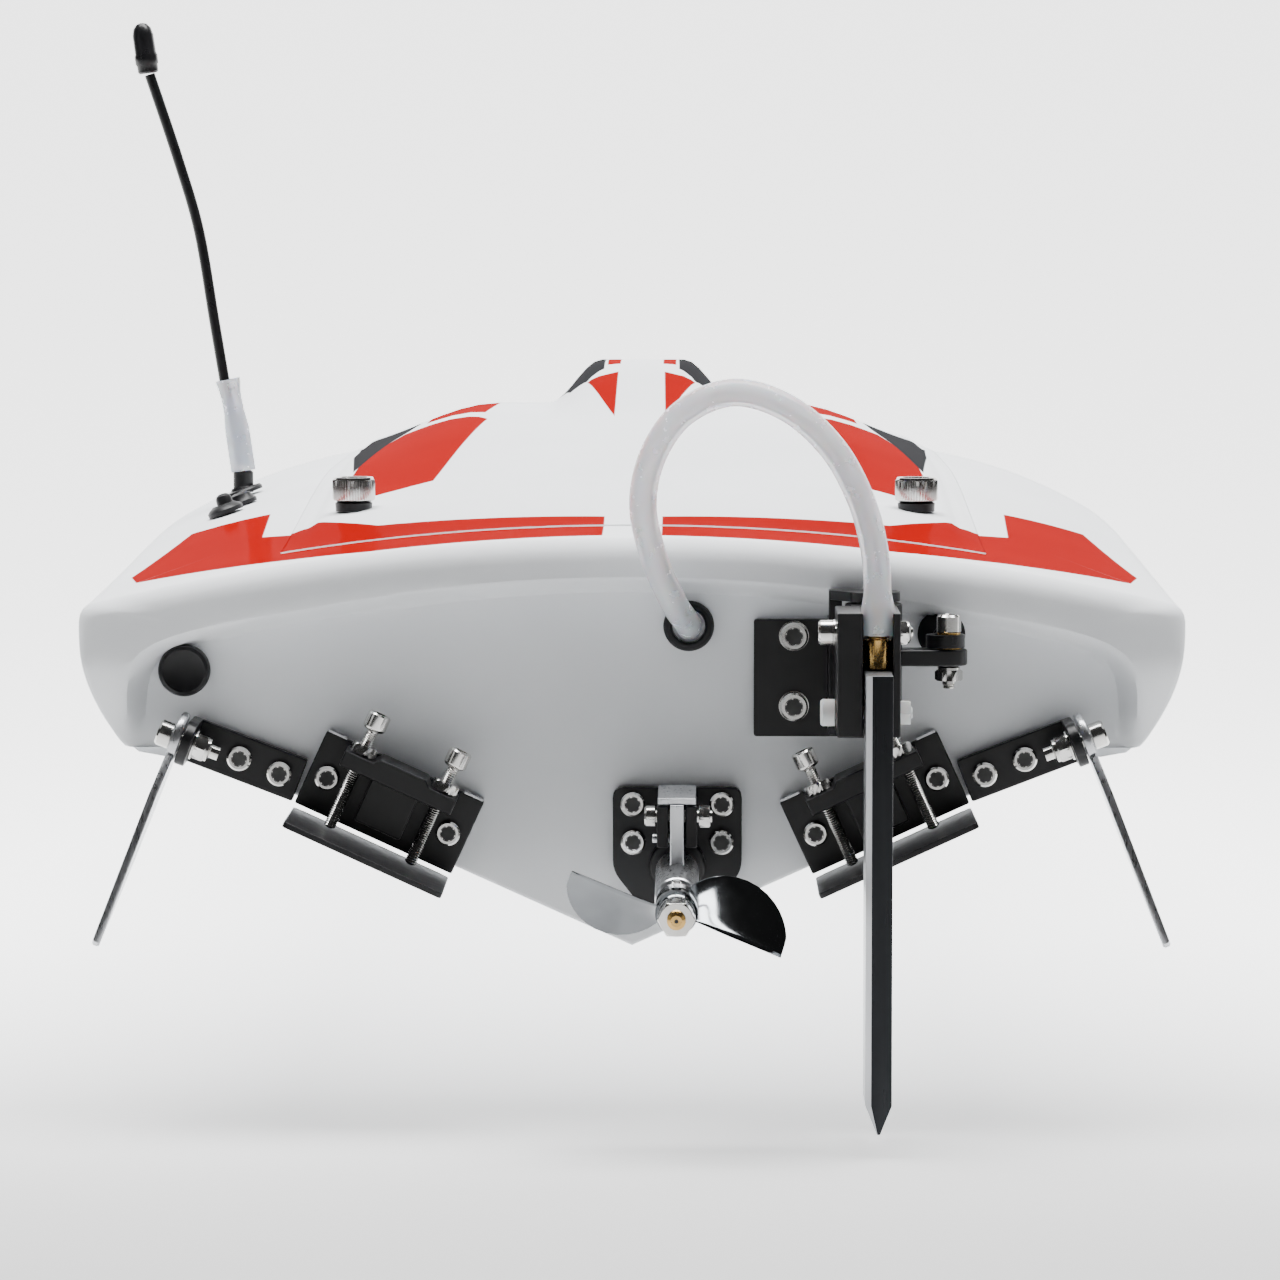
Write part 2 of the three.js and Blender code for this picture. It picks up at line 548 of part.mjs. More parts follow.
// Two blades on a screw surface, straight behind and curved in front.
function propeller() {
  const lead = PROP.lead;
  const mid = (PROP.aft + PROP.fore) / 2 - 1;
  const trail = rad(-23);
  const front = (r) => rad(-19 + 78 * Math.pow(1 - clamp01(r / (PROP.radius + 0.2)), 0.62));
  const point = (r, angle, lift) =>
    new THREE.Vector3(r * Math.cos(angle), mid + lead * (angle - trail) - 3.6 + lift, r * Math.sin(angle));
  const bladeRing = (r) => {
    const steps = [0, 0.2, 0.45, 0.7, 1];
    const half = PROP.thick * (0.85 - 0.4 * (r / PROP.radius));
    const angles = steps.map((t) => trail + (front(r) - trail) * t);
    const lifts = steps.map((t) => half * (1 - 0.8 * t));
    const aftFace = angles.map((a, i) => point(r, a, -lifts[i]));
    const foreFace = angles.map((a, i) => point(r, a, lifts[i])).toReversed();
    return [...aftFace, ...foreFace].toReversed();
  };
  const radii = [2.8, 6, 9, 12, 15, 18, 20.5, 22.5, PROP.radius];
  const blade = loft(radii.map(bladeRing));
  const opposite = blade.clone().rotateY(Math.PI);
  const hub = rodY(0, 0, PROP.hub, PROP.aft, PROP.fore, 24);
  return cut(join(hub, blade, opposite), rodY(0, 0, SHAFT.radius + GAP, -80, -20));
}

function motor() {
  const [y0, y1] = [244, 306];
  const jacket = cut(rodY(0, 0, 21, 254, 296, 32), rodY(0, 0, 18.4, 240, 320, 32));
  part('cooling_jacket', join(jacket, rodZ(1, 270, 2.2, 20.4, 22.6, 12)), BLUE_METAL, drive);
  part('motor_case', cut(rodY(0, 0, 18, y0, y1, 32), rodY(0, 0, 2.9, 200, 262)), BLACK_METAL, drive);
  const plate = slabY([
    [-17, -28.5], [-10, -31.7], [17, -19.4], [20, -8], [20, 12], [10, 20], [-10, 20], [-20, 12], [-20, -8],
  ], 240, 243.6);
  part('motor_mount', cut(plate, rodY(0, 0, 5, 230, 250)), ALUMINIUM, drive);
}

function driveLine() {
  part('strut_bracket', strutBracket(), BLACK_METAL);
  const bolt = crossBolt(-16, 30.6, SHAFT.x - 4.7, SHAFT.x + 7.6, 1.4, 2.5, 2.6);
  part('strut_bolt', bolt, STEEL);
  part('drive_strut', driveStrut(), ALUMINIUM, drive);
  part('stuffing_tube', cut(rodY(0, 0, 3, -8, 200), rodY(0, 0, 2.35, -10, 202)), BRASS, drive);
  const shaft = join(rodY(0, 0, SHAFT.radius, -65, 222), rodY(0, 0, 1.7, 220, 260));
  part('prop_shaft', shaft, STEEL, drive);
  part('drive_dog', cut(rodY(0, 0, 4, -45.7, -42.4), rodY(0, 0, 2.3, -50, -40)), STEEL, drive);
  part('propeller', propeller(), POLISHED, drive);
  part('prop_nut', cut(rodY(0, 0, 4.1, -63.6, -58.3, 6), rodY(0, 0, 2.3, -70, -50)), STEEL, drive);
  part('shaft_coupler', cut(rodY(0, 0, 5.5, 208, 232), rodY(0, 0, 2.3, 200, 240)), ALUMINIUM, drive);
  motor();
}

driveLine();

// ---- trim tabs ----------------------------------------------------------
function trimBracket() {
  const plate = box(-TAB.half, TAB.half, -3, -GAP, 0.4, TAB.height);
  const shelf = box(-13.4, 13.4, -16, -2, TAB.height - 4.4, TAB.height - 0.6);
  const web = box(-5.6, 5.6, -9, -2, 3, TAB.height - 4);
  const holes = [-1, 1].map((s) => rodZ(s * TAB.screw, -11, 1.65, 0, 30, 12));
  return cut(join(plate, shelf, web), ...holes);
}

function trimScrew() {
  return turned([[0, -0.3], [1.35, -0.3], [1.35, 23.4], [2.6, 24.4], [2.6, 27.2], [0, 27.2]], 12);
}

function trimTabs() {
  for (const [side, s] of [['port', -1], ['starboard', 1]]) {
    const corner = frame(s * TAB.x, 0, TAB.z, 0, -s * DEADRISE);
    part(`trim_bracket_${side}`, trimBracket(), BLACK_METAL, corner);
    const plate = slabZ(roundedShape(-18.8, 18.8, -TAB.chord, -0.6, 1.2), -1.9, -0.6);
    part(`trim_tab_${side}`, plate, BLACK_METAL, corner);
    for (const [place, t] of [['inner', -s], ['outer', s]]) {
      const screw = trimScrew().translate(t * TAB.screw, -11, 0);
      part(`trim_screw_${place}_${side}`, screw, STEEL, corner);
    }
  }
}

// ---- turn fins ----------------------------------------------------------
function finBracket() {
  const half = FIN.height / 2;
  const bar = box(-FIN.half + 1, FIN.half, -3, -GAP, -half, half);
  const ear = slabX([[-1, -half], [-14, -half], [-17, -2], [-17, 2], [-14, half], [-1, half]], 11.6, 14);
  return cut(join(bar, ear), rodX(-10, 0, 1.9, 5, 20, 14));
}

function turnFin() {
  const edge = new THREE.QuadraticBezierCurve(
    new THREE.Vector2(-4.4, -3), new THREE.Vector2(-6, -26), new THREE.Vector2(-25, -FIN.length),
  );
  const front = edge.getPoints(8).map((p) => [p.x, p.y]);
  const head = [];
  for (let i = 1; i <= 6; i += 1) {
    const a = rad(-28 - i * 30);
    head.push([-10 + 6.2 * Math.cos(a), -6.2 * Math.sin(a)]);
  }
  return [...front, [-26.2, -FIN.length + 1.4], [-22.5, -12], ...head.toReversed()];
}

function finBolt() {
  return join(rodX(-10, 0, 1.6, 5.4, 17, 14), rodX(-10, 0, 3, 16.4, 19.8, 20), rodX(-10, 0, 3.1, 7.4, 11.3, 6));
}

function turnFins() {
  for (const [side, s] of [['port', -1], ['starboard', 1]]) {
    const corner = frame(s * FIN.x, 0, FIN.z, 0, -s * FIN.tilt);
    const flip = (geometry) => (s > 0 ? geometry : mirrored(geometry));
    part(`fin_bracket_${side}`, flip(finBracket()), BLACK_METAL, corner);
    const fin = cut(slabX(turnFin(), 14.3, 16.1), rodX(-10, 0, 1.9, 10, 20, 14));
    part(`turn_fin_${side}`, flip(fin), ALUMINIUM, corner);
    part(`fin_bolt_${side}`, flip(finBolt()), STEEL, corner);
  }
}

// The same piece on the other side of the plane x = 0.
function mirrored(geometry) {
  const copy = toGeometry(toSolid(geometry));
  copy.scale(-1, 1, 1);
  const index = copy.index.array;
  for (let i = 0; i < index.length; i += 3) [index[i], index[i + 1]] = [index[i + 1], index[i]];
  return copy;
}

trimTabs();
turnFins();

// ---- power and radio gear under the hatch ------------------------------
function radioGear() {
  for (const [side, s] of [['port', -1], ['starboard', 1]]) {
    const [x0, x1] = s < 0 ? [-56, -12] : [12, 56];
    part(`battery_${side}`, box(x0, x1, 314, 434, 40, 64), BATTERY_WRAP);
    part(`battery_bed_${side}`, bed(x0, x1, 316, 432, 39.4, 8), FOAM);
  }
  part('speed_controller', bed(-56, -18, 162, 232, 50), BLACK_PLASTIC);
  const shell = bed(-58, -20, 96, 150, 66);
  part('receiver_box', cut(shell, box(-55.6, -22.4, 98.4, 147.6, 36, 80)), BLACK_PLASTIC);
  part('receiver', box(-54, -26, 104, 142, 36.6, 52), BLACK_PLASTIC);
}

radioGear();

export default model;
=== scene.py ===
import json
import math

import bmesh
import bpy
from mathutils import Matrix, Vector


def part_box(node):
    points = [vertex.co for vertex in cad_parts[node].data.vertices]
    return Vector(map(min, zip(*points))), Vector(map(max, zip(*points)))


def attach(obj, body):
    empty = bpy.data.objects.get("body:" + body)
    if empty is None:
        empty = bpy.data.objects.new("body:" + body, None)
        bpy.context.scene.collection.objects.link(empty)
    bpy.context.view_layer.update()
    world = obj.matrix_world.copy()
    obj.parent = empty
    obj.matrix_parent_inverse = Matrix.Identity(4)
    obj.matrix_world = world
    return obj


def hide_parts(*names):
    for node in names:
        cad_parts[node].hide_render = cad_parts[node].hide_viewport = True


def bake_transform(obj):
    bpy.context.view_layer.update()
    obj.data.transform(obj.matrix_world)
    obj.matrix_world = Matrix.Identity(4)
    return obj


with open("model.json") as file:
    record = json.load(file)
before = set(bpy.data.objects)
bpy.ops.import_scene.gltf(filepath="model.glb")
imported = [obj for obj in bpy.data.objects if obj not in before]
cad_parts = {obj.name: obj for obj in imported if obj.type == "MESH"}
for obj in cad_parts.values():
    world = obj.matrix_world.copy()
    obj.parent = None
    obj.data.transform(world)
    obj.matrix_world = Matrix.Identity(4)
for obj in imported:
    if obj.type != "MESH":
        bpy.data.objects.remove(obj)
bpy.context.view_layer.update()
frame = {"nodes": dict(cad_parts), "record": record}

# Lengths in this script are millimetres; the frame itself is in metres.
MM = 0.001
PI = math.pi


# ---- small maths ----
def clamp01(t):
    return min(1.0, max(0.0, t))


def smooth(a, b, t):
    u = clamp01((t - a) / (b - a))
    return u * u * (3 - 2 * u)


def place(x=0, y=0, z=0, tilt_x=0, tilt_y=0, turn_z=0):
    turn = Matrix.Rotation(math.radians(tilt_x), 4, "X")
    turn = turn @ Matrix.Rotation(math.radians(tilt_y), 4, "Y")
    turn = turn @ Matrix.Rotation(math.radians(turn_z), 4, "Z")
    return Matrix.Translation((x, y, z)) @ turn


def aim(x, y, z, direction, roll=0):
    """A frame at a point, in millimetres, whose Z axis looks along direction."""
    turn = Vector(direction).to_track_quat("Z", "Y").to_matrix().to_4x4()
    return Matrix.Translation((x, y, z)) @ turn @ Matrix.Rotation(math.radians(roll), 4, "Z")


# ---- materials ----
class Nodes:
    def __init__(self, name):
        self.material = bpy.data.materials.new(name)
        self.material.use_nodes = True
        self.tree = self.material.node_tree
        self.shader = self.tree.nodes["Principled BSDF"]
        self.coordinates = self.tree.nodes.new("ShaderNodeTexCoord").outputs["Object"]

    def put(self, socket, value):
        if hasattr(value, "links") or hasattr(value, "is_linked"):
            self.tree.links.new(value, socket)
        else:
            socket.default_value = value

    def math(self, kind, a, b=0.0, c=0.0):
        node = self.tree.nodes.new("ShaderNodeMath")
        node.operation = kind
        for socket, value in zip(node.inputs, (a, b, c)):
            self.put(socket, value)
        return node.outputs[0]

    def noise(self, scale, stretch=(1, 1, 1), detail=3.0):
        mapping = self.tree.nodes.new("ShaderNodeMapping")
        mapping.inputs["Scale"].default_value = stretch
        self.put(mapping.inputs["Vector"], self.coordinates)
        node = self.tree.nodes.new("ShaderNodeTexNoise")
        node.inputs["Scale"].default_value = scale
        node.inputs["Detail"].default_value = detail
        self.put(node.inputs["Vector"], mapping.outputs[0])
        return node.outputs["Fac"]

    def mix(self, factor, a, b):
        node = self.tree.nodes.new("ShaderNodeMix")
        node.data_type = "RGBA"
        self.put(node.inputs[0], factor)
        self.put(node.inputs[6], a)
        self.put(node.inputs[7], b)
        return node.outputs[2]

    def spread(self, value, low, high):
        node = self.tree.nodes.new("ShaderNodeMapRange")
        self.put(node.inputs["Value"], value)
        node.inputs["From Min"].default_value = 0.25
        node.inputs["From Max"].default_value = 0.75
        node.inputs["To Min"].default_value = low
        node.inputs["To Max"].default_value = high
        return node.outputs[0]

    def bump(self, height, distance, strength=0.5):
        node = self.tree.nodes.new("ShaderNodeBump")
        node.inputs["Distance"].default_value = distance
        node.inputs["Strength"].default_value = strength
        self.put(node.inputs["Height"], height)
        self.put(self.shader.inputs["Normal"], node.outputs[0])


def rgb(r, g, b):
    return (r, g, b, 1.0)


def finish(name, dark, light, rough, metallic=0.0, scale=90, stretch=(1, 1, 1), bump=0.0, **sockets):
    """A material whose colour and roughness wander gently between two values."""
    nodes = Nodes(name)
    wander = nodes.noise(scale, stretch)
    nodes.put(nodes.shader.inputs["Base Color"], nodes.mix(nodes.spread(wander, 0, 1), rgb(*dark), rgb(*light)))
    grain = nodes.noise(scale * 6, stretch)
    nodes.put(nodes.shader.inputs["Roughness"], nodes.spread(grain, rough[0], rough[1]))
    nodes.shader.inputs["Metallic"].default_value = metallic
    for socket, value in sockets.items():
        nodes.shader.inputs[socket.replace("_", " ")].default_value = value
    if bump:
        nodes.bump(grain, bump)
    return nodes.material


WHITE_LOW, WHITE_HIGH = (0.79, 0.81, 0.83), (0.83, 0.85, 0.87)
RED_LOW, RED_HIGH = (0.25, 0.0018, 0.0012), (0.28, 0.0024, 0.0016)
TINT = (0.018, 0.018, 0.020)


def polygon_mask(nodes, points, across, along):
    """1 inside a convex outline in plan, in millimetres, 0 outside."""
    area = sum(a[0] * b[1] - b[0] * a[1] for a, b in zip(points, points[1:] + points[:1]))
    ordered = points if area > 0 else points[::-1]
    inside = None
    for (x0, y0), (x1, y1) in zip(ordered, ordered[1:] + ordered[:1]):
        length = math.hypot(x1 - x0, y1 - y0)
        nx, ny = -(y1 - y0) / length, (x1 - x0) / length
        shift = -(nx * x0 + ny * y0) * MM
        part = nodes.math("MULTIPLY_ADD", along, ny, shift)
        distance = nodes.math("MULTIPLY_ADD", across, nx, part)
        inside = distance if inside is None else nodes.math("MINIMUM", inside, distance)
    return nodes.math("MULTIPLY_ADD", inside, 1 / (0.25 * MM), 0.5)


def gelcoat(name, reds=(), blacks=()):
    nodes = Nodes(name)
    wander = nodes.spread(nodes.noise(25), 0, 1)
    colour = nodes.mix(wander, rgb(*WHITE_LOW), rgb(*WHITE_HIGH))
    if reds or blacks:
        split = nodes.tree.nodes.new("ShaderNodeSeparateXYZ")
        nodes.put(split.inputs[0], nodes.coordinates)
        across = nodes.math("ABSOLUTE", split.outputs[0])
        paint = nodes.mix(wander, rgb(*RED_LOW), rgb(*RED_HIGH))
        for outlines, over in ((reds, paint), (blacks, rgb(*TINT))):
            for outline in outlines:
                mask = polygon_mask(nodes, outline, across, split.outputs[1])
                soft = nodes.tree.nodes.new("ShaderNodeClamp")
                nodes.put(soft.inputs[0], mask)
                colour = nodes.mix(soft.outputs[0], colour, over)
    nodes.put(nodes.shader.inputs["Base Color"], colour)
    nodes.put(nodes.shader.inputs["Roughness"], nodes.spread(nodes.noise(180), 0.30, 0.36))
    nodes.shader.inputs["Specular IOR Level"].default_value = 0.0
    nodes.shader.inputs["Coat Weight"].default_value = 0.02
    nodes.shader.inputs["Coat Roughness"].default_value = 0.10
    nodes.bump(nodes.noise(60), 0.00006, 0.3)
    return nodes.material


STERN_STRIPE = [
    [(6.5, -1.5), (6.5, 33), (58.2, 37.5), (58.2, -4.5)],
    [(58, -4.5), (58, 37.5), (86.4, 62.5), (111.4, 22)],
    [(86.2, 62.3), (87.6, 105), (106.8, 108), (114.3, 40), (111.4, 22)],
]
CANOPY_RED = [
    [(61, 81), (48, 91), (38.6, 184), (41, 192), (56, 212), (61.5, 218), (65, 189), (68.7, 161), (69.5, 120)],
    [(40, 207), (56.5, 236), (56.5, 264), (38, 264)],
    [(14, 218), (6, 227), (6.4, 180)],
    [(5.6, 240), (9, 238), (9, 266), (5.6, 266)],
]
CANOPY_BLACK = [
    [(69.7, 136), (60.6, 232), (58.7, 264), (75.5, 264), (72.6, 185)],
    [(14.2, 219.5), (9.8, 231), (9.6, 266), (23, 266), (18.5, 224)],
]

GELCOAT = gelcoat("gelcoat_white")
GELCOAT_DECK = gelcoat("gelcoat_stern_stripe", STERN_STRIPE)
GELCOAT_HATCH = gelcoat("gelcoat_canopy", STERN_STRIPE + CANOPY_RED, CANOPY_BLACK)
BLACK_METAL = finish("black_anodised", (0.004, 0.004, 0.005), (0.008, 0.008, 0.009), (0.28, 0.36), 0.0, bump=0.00001,
                     Specular_IOR_Level=0.35)
ALUMINIUM = finish("brushed_aluminium", (0.50, 0.51, 0.53), (0.66, 0.67, 0.69), (0.24, 0.36), 1.0, 240, (1, 1, 0.06))
BLADE_METAL = finish("rudder_side", (0.36, 0.37, 0.39), (0.54, 0.55, 0.57), (0.26, 0.38), 1.0, 160, (1, 1, 0.05))
# The blade's fore, aft and end faces: the same metal painted dark as shade and dark reflection.
BLADE_PAINTED_SHADE = finish("rudder_edge_painted_shade", (0.014, 0.015, 0.017), (0.034, 0.036, 0.039), (0.26, 0.34), 0.9, 90, (1, 1, 0.08),
                    Specular_IOR_Level=0.25)
STEEL = finish("stainless_steel", (0.56, 0.55, 0.53), (0.76, 0.75, 0.73), (0.14, 0.24), 1.0, 150)
# Steel painted dark as shade, for the floors of sockets, recesses and bores.
STEEL_PAINTED_SHADE = finish("socket_shadow", (0.03, 0.03, 0.03), (0.07, 0.07, 0.07), (0.35, 0.5), 0.8, 150)
POLISHED = finish("polished_propeller", (0.15, 0.16, 0.17), (0.24, 0.25, 0.26), (0.10, 0.16), 1.0, 70)
BRASS = finish("brass", (0.50, 0.30, 0.09), (0.70, 0.46, 0.17), (0.20, 0.32), 1.0, 200)
RUBBER = finish("black_rubber", (0.004, 0.004, 0.005), (0.008, 0.008, 0.009), (0.36, 0.48), 0.0, 120, bump=0.00001,
                Specular_IOR_Level=0.3)
BLACK_PLASTIC = finish("black_plastic", (0.005, 0.005, 0.006), (0.009, 0.009, 0.010), (0.26, 0.32), 0.0, 60,
                       Specular_IOR_Level=0.35)
NYLON = finish("white_nylon", (0.72, 0.72, 0.70), (0.82, 0.82, 0.80), (0.35, 0.45), 0.0, 120, Subsurface_Weight=0.15)
BLUE_METAL = finish("blue_anodised", (0.01, 0.06, 0.32), (0.02, 0.10, 0.42), (0.22, 0.32), 0.9, 120)
BATTERY_WRAP = finish("battery_wrap", (0.020, 0.022, 0.030), (0.035, 0.037, 0.048), (0.30, 0.42), 0.0, 60)
FOAM = finish("foam", (0.015, 0.016, 0.019), (0.030, 0.031, 0.035), (0.80, 0.95), 0.0, 500, bump=0.0003)
SILICONE = finish(
    "clear_silicone", (0.90, 0.91, 0.95), (0.96, 0.97, 1.0), (0.20, 0.30), 0.0, 60,
    Transmission_Weight=0.55, IOR=1.35, Subsurface_Weight=0.25,
)
BLUE_CABLE = finish("blue_cable", (0.16, 0.28, 0.52), (0.22, 0.36, 0.62), (0.35, 0.45), 0.0, 80)

SLOT_MATERIAL = {
    "gelcoat": GELCOAT, "black_anodised": BLACK_METAL, "aluminium": ALUMINIUM, "steel": STEEL,
    "polished_prop": POLISHED, "brass": BRASS, "rubber": RUBBER, "black_plastic": BLACK_PLASTIC,
    "nylon": NYLON, "silicone": SILICONE, "blue_anodised": BLUE_METAL, "battery_wrap": BATTERY_WRAP,
    "foam": FOAM,
}


# ---- building tools ----
def ring(radius, z, kind="o", count=48):
    """Points round Z. o is round, h a hexagon by its half width, k knurled."""
    points = []
    for i in range(count):
        a = 2 * PI * i / count
        r = radius
        if kind == "h":
            r = radius / math.cos(a % (PI / 3) - PI / 6)
        elif kind == "k":
            r = radius * (1 if i % 2 else 0.95)
        points.append(Vector((r * math.cos(a), r * math.sin(a), z)))
    return points


class Shape:
    """Closed surfaces, in millimetres, gathered into one piece."""

    def __init__(self):
        self.bm = bmesh.new()

    def rings(self, rings, matrix=None, material=0, closed=False, caps=True):
        made = []
        for points in rings:
            made.append([self.bm.verts.new((matrix @ p) if matrix else p) for p in points])
        pairs = list(zip(made, made[1:]))
        if closed:
            pairs.append((made[-1], made[0]))
        for a, b in pairs:
            for i in range(len(a)):
                j = (i + 1) % len(a)
                self.face([a[i], a[j], b[j], b[i]], material)
        if caps and not closed:
            self.face(made[0][::-1], material)
            self.face(made[-1], material)
        return made

    def face(self, verts, material=0):
        unique = list(dict.fromkeys(verts))
        if len(unique) > 2:
            self.bm.faces.new(unique).material_index = material

    def turned(self, profile, matrix=None, material=0, count=48):
        """profile holds (radius, z) or (radius, z, kind), from the low end up."""
        rings = [ring(max(p[0], 0.01), p[1], p[2] if len(p) > 2 else "o", count) for p in profile]
        return self.rings(rings, matrix, material)

    def slab(self, points, y0, y1, matrix=None, material=0):
        """A flat outline in X and Z with depth along Y."""
        rings = [[Vector((x, y, z)) for x, z in points] for y in (y0, y1)]
        return self.rings(rings, matrix, material)

    def block(self, x0, x1, y0, y1, z0, z1, matrix=None, material=0):
        return self.slab([(x0, z0), (x1, z0), (x1, z1), (x0, z1)], y0, y1, matrix, material)

    def tube(self, points, radii, matrix=None, material=0, count=24, hollow=None):
        """Round stock along a line; hollow gives the bore's radii."""
        rings = sweep(points, radii, count)
        if hollow:
            rings += sweep(points, hollow, count)[::-1]
            return self.rings(rings, matrix, material, closed=True)
        return self.rings(rings, matrix, material)


def sweep(points, radii, count):
    points = [Vector(p) for p in points]
    normal, rings = None, []
    for i, p in enumerate(points):
        ahead = points[min(i + 1, len(points) - 1)] - points[max(i - 1, 0)]
        ahead.normalize()
        if normal is None:
            normal = ahead.orthogonal().normalized()
        normal = (normal - ahead * normal.dot(ahead)).normalized()
        side = ahead.cross(normal)
        r = radii[i] if isinstance(radii, (list, tuple)) else radii
        rings.append([p + (normal * math.cos(a) + side * math.sin(a)) * r
                      for a in (2 * PI * k / count for k in range(count))])
    return rings


def curve_through(points, steps):
    """A smooth line through the points, Catmull-Rom."""
    points = [Vector(p) for p in points]
    line = []
    for i in range(len(points) - 1):
        p0, p1, p2 = points[max(i - 1, 0)], points[i], points[i + 1]
        p3 = points[min(i + 2, len(points) - 1)]
        for k in range(steps):
            t = k / steps
            line.append(0.5 * (2 * p1 + (p2 - p0) * t + (2 * p0 - 5 * p1 + 4 * p2 - p3) * t * t
                               + (3 * p1 - p0 - 3 * p2 + p3) * t * t * t))
    return line + [points[-1]]


def piece(name, shape, materials, body, nodes=(), bevel=0.0, angle=32, closed=True):
    """Makes the mesh, lets it ride on its body and hides the CAD nodes it stands for."""
    bm = shape.bm
    bmesh.ops.transform(bm, matrix=Matrix.Scale(MM, 4), verts=bm.verts)
    if closed:
        bmesh.ops.recalc_face_normals(bm, faces=bm.faces)
    mesh = bpy.data.meshes.new(name)
    bm.to_mesh(mesh)
    bm.free()
    for material in materials if isinstance(materials, (list, tuple)) else [materials]:
        mesh.materials.append(material)
    mesh.shade_smooth()
    mesh.set_sharp_from_angle(angle=math.radians(angle))
    made = bpy.data.objects.new(name, mesh)
    bpy.context.scene.collection.objects.link(made)
    if bevel:
        modifier = made.modifiers.new("edges", "BEVEL")
        modifier.width = bevel * MM
        modifier.segments = 2
        modifier.limit_method = "ANGLE"
        modifier.angle_limit = math.radians(40)
        modifier.harden_normals = True
    if body:
        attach(made, body)
    if nodes:
        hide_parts(*nodes)
    return made


# ---- camera, light and floor ----
def stage_scene():
    camera = bpy.data.objects.new("camera", bpy.data.cameras.new("camera"))
    bpy.context.scene.collection.objects.link(camera)
    camera.data.lens = 153.8
    camera.data.sensor_width = 36
    camera.location = (0.0134, -1.200, 0.165)
    look = Vector((-0.00969, 1.0, -0.0810))
    camera.rotation_euler = look.to_track_quat("-Z", "Y").to_euler()
    camera.data.clip_start = 0.01
    bpy.context.scene.camera = camera

    def lamp(name, place_at, look_at, width, height, power, tint=(1, 1, 1)):
        data = bpy.data.lights.new(name, "AREA")
        data.shape, data.size, data.size_y = "RECTANGLE", width, height
        data.energy, data.color = power, tint
        light = bpy.data.objects.new(name, data)
        bpy.context.scene.collection.objects.link(light)
        light.location = place_at
        aim_at = Vector(look_at) - Vector(place_at)
        light.rotation_euler = aim_at.to_track_quat("-Z", "Y").to_euler()

    lamp("overhead", (0.0, 0.14, 1.20), (0, 0.08, 0.05), 1.3, 0.6, 50)
    lamp("side_left", (-1.1, -0.65, 0.40), (0, 0, 0.04), 0.3, 0.5, 0.5)
    lamp("side_right", (1.1, -0.65, 0.40), (0, 0, 0.04), 0.3, 0.5, 0.35)

    world = bpy.data.worlds.new("studio")
    world.use_nodes = True
    background = world.node_tree.nodes["Background"]
    background.inputs[0].default_value = (1.0, 1.0, 1.0, 1.0)
    background.inputs[1].default_value = 0.03
    bpy.context.scene.world = world

    # A pale floor that curves up into a wall behind the bow.
    profile = [(-2.4, 0.0), (1.4, 0.0)]
    profile += [(1.4 + 0.8 * math.sin(a * PI / 16), 0.8 - 0.8 * math.cos(a * PI / 16)) for a in range(1, 9)]
    profile += [(2.2, 2.6)]
    bm = bmesh.new()
    rows = [[bm.verts.new((x, y, z + FLOOR_Z)) for y, z in profile] for x in (-3.0, 3.0)]
    for i in range(len(profile) - 1):
        bm.faces.new((rows[0][i], rows[1][i], rows[1][i + 1], rows[0][i + 1]))
    mesh = bpy.data.meshes.new("floor")
    bm.to_mesh(mesh)
    bm.free()
    mesh.shade_smooth()
    floor = bpy.data.objects.new("floor", mesh)
    bpy.context.scene.collection.objects.link(floor)
    paper = Nodes("floor")
    paper.put(paper.shader.inputs["Base Color"], rgb(0.62, 0.62, 0.62))
    paper.put(paper.shader.inputs["Roughness"], paper.spread(paper.noise(4), 0.8, 0.9))
    away = paper.tree.nodes.new("ShaderNodeSeparateXYZ")
    paper.put(away.inputs[0], paper.coordinates)
    glow = paper.tree.nodes.new("ShaderNodeMapRange")
    glow.interpolation_type = "SMOOTHSTEP"
    paper.put(glow.inputs["Value"], away.outputs["Y"])
    glow.inputs["From Min"].default_value = -0.25
    glow.inputs["From Max"].default_value = 0.35
    glow.inputs["To Min"].default_value = 0.0
    glow.inputs["To Max"].default_value = 2.6
    paper.put(paper.shader.inputs["Emission Color"], rgb(1, 1, 1))
    paper.put(paper.shader.inputs["Emission Strength"], glow.outputs[0])
    mesh.materials.append(paper.material)


FLOOR_Z = -0.0365
stage_scene()


# ---- lines of the hull, the same as the CAD's ----
LENGTH, HALF_BEAM, OVERHANG, WALL = 800, 121, 12, 2.5
CHINE_Z, SHEER_Z, BOW_FROM = 44, 75, 200
HATCH_HALF, HATCH_FRONT_HALF, HATCH_AFT, HATCH_FRONT = 79, 52, 22, 500
OPENING_HALF, OPENING_AFT, OPENING_FRONT = 58, 85, 440


def sheer_z(y):
    return SHEER_Z + 5.6 * smooth(-60, 200, y) + 6 * clamp01(y / LENGTH) ** 1.8


def half_beam(y):
    return HALF_BEAM * (1 - clamp01((y - BOW_FROM) / (LENGTH - BOW_FROM)) ** 2.2)


def keel_z(y):
    return 80 * clamp01((y - 520) / (LENGTH - 520)) ** 2.6


def chine_z(y):
    return CHINE_Z + 39 * clamp01((y - 350) / (LENGTH - 350)) ** 2


def deck_z(x, y):
    crown = 15.2 + 2.4 * smooth(0, 200, y) - 11 * smooth(260, 560, y) - 3 * smooth(620, 800, y)
    across = clamp01(abs(x) / half_beam(y))
    return sheer_z(y) + crown * (1 - across ** (2 + 2 * smooth(0, 200, y)))


def hatch_half(y):
    return HATCH_HALF - (HATCH_HALF - HATCH_FRONT_HALF) * smooth(330, 500, y)


def hatch_rise(x, y):
    share = abs(x) / hatch_half(y)
    body = 8.6 * smooth(36, 215, y) * (1 - smooth(250, 440, y)) * (1 - smooth(0.5, 0.97, share))
    hump = 11.5 * smooth(165, 250, y) * (1 - smooth(260, 400, y)) * (1 - smooth(11, 25, abs(x)))
    return 2.8 + body + hump


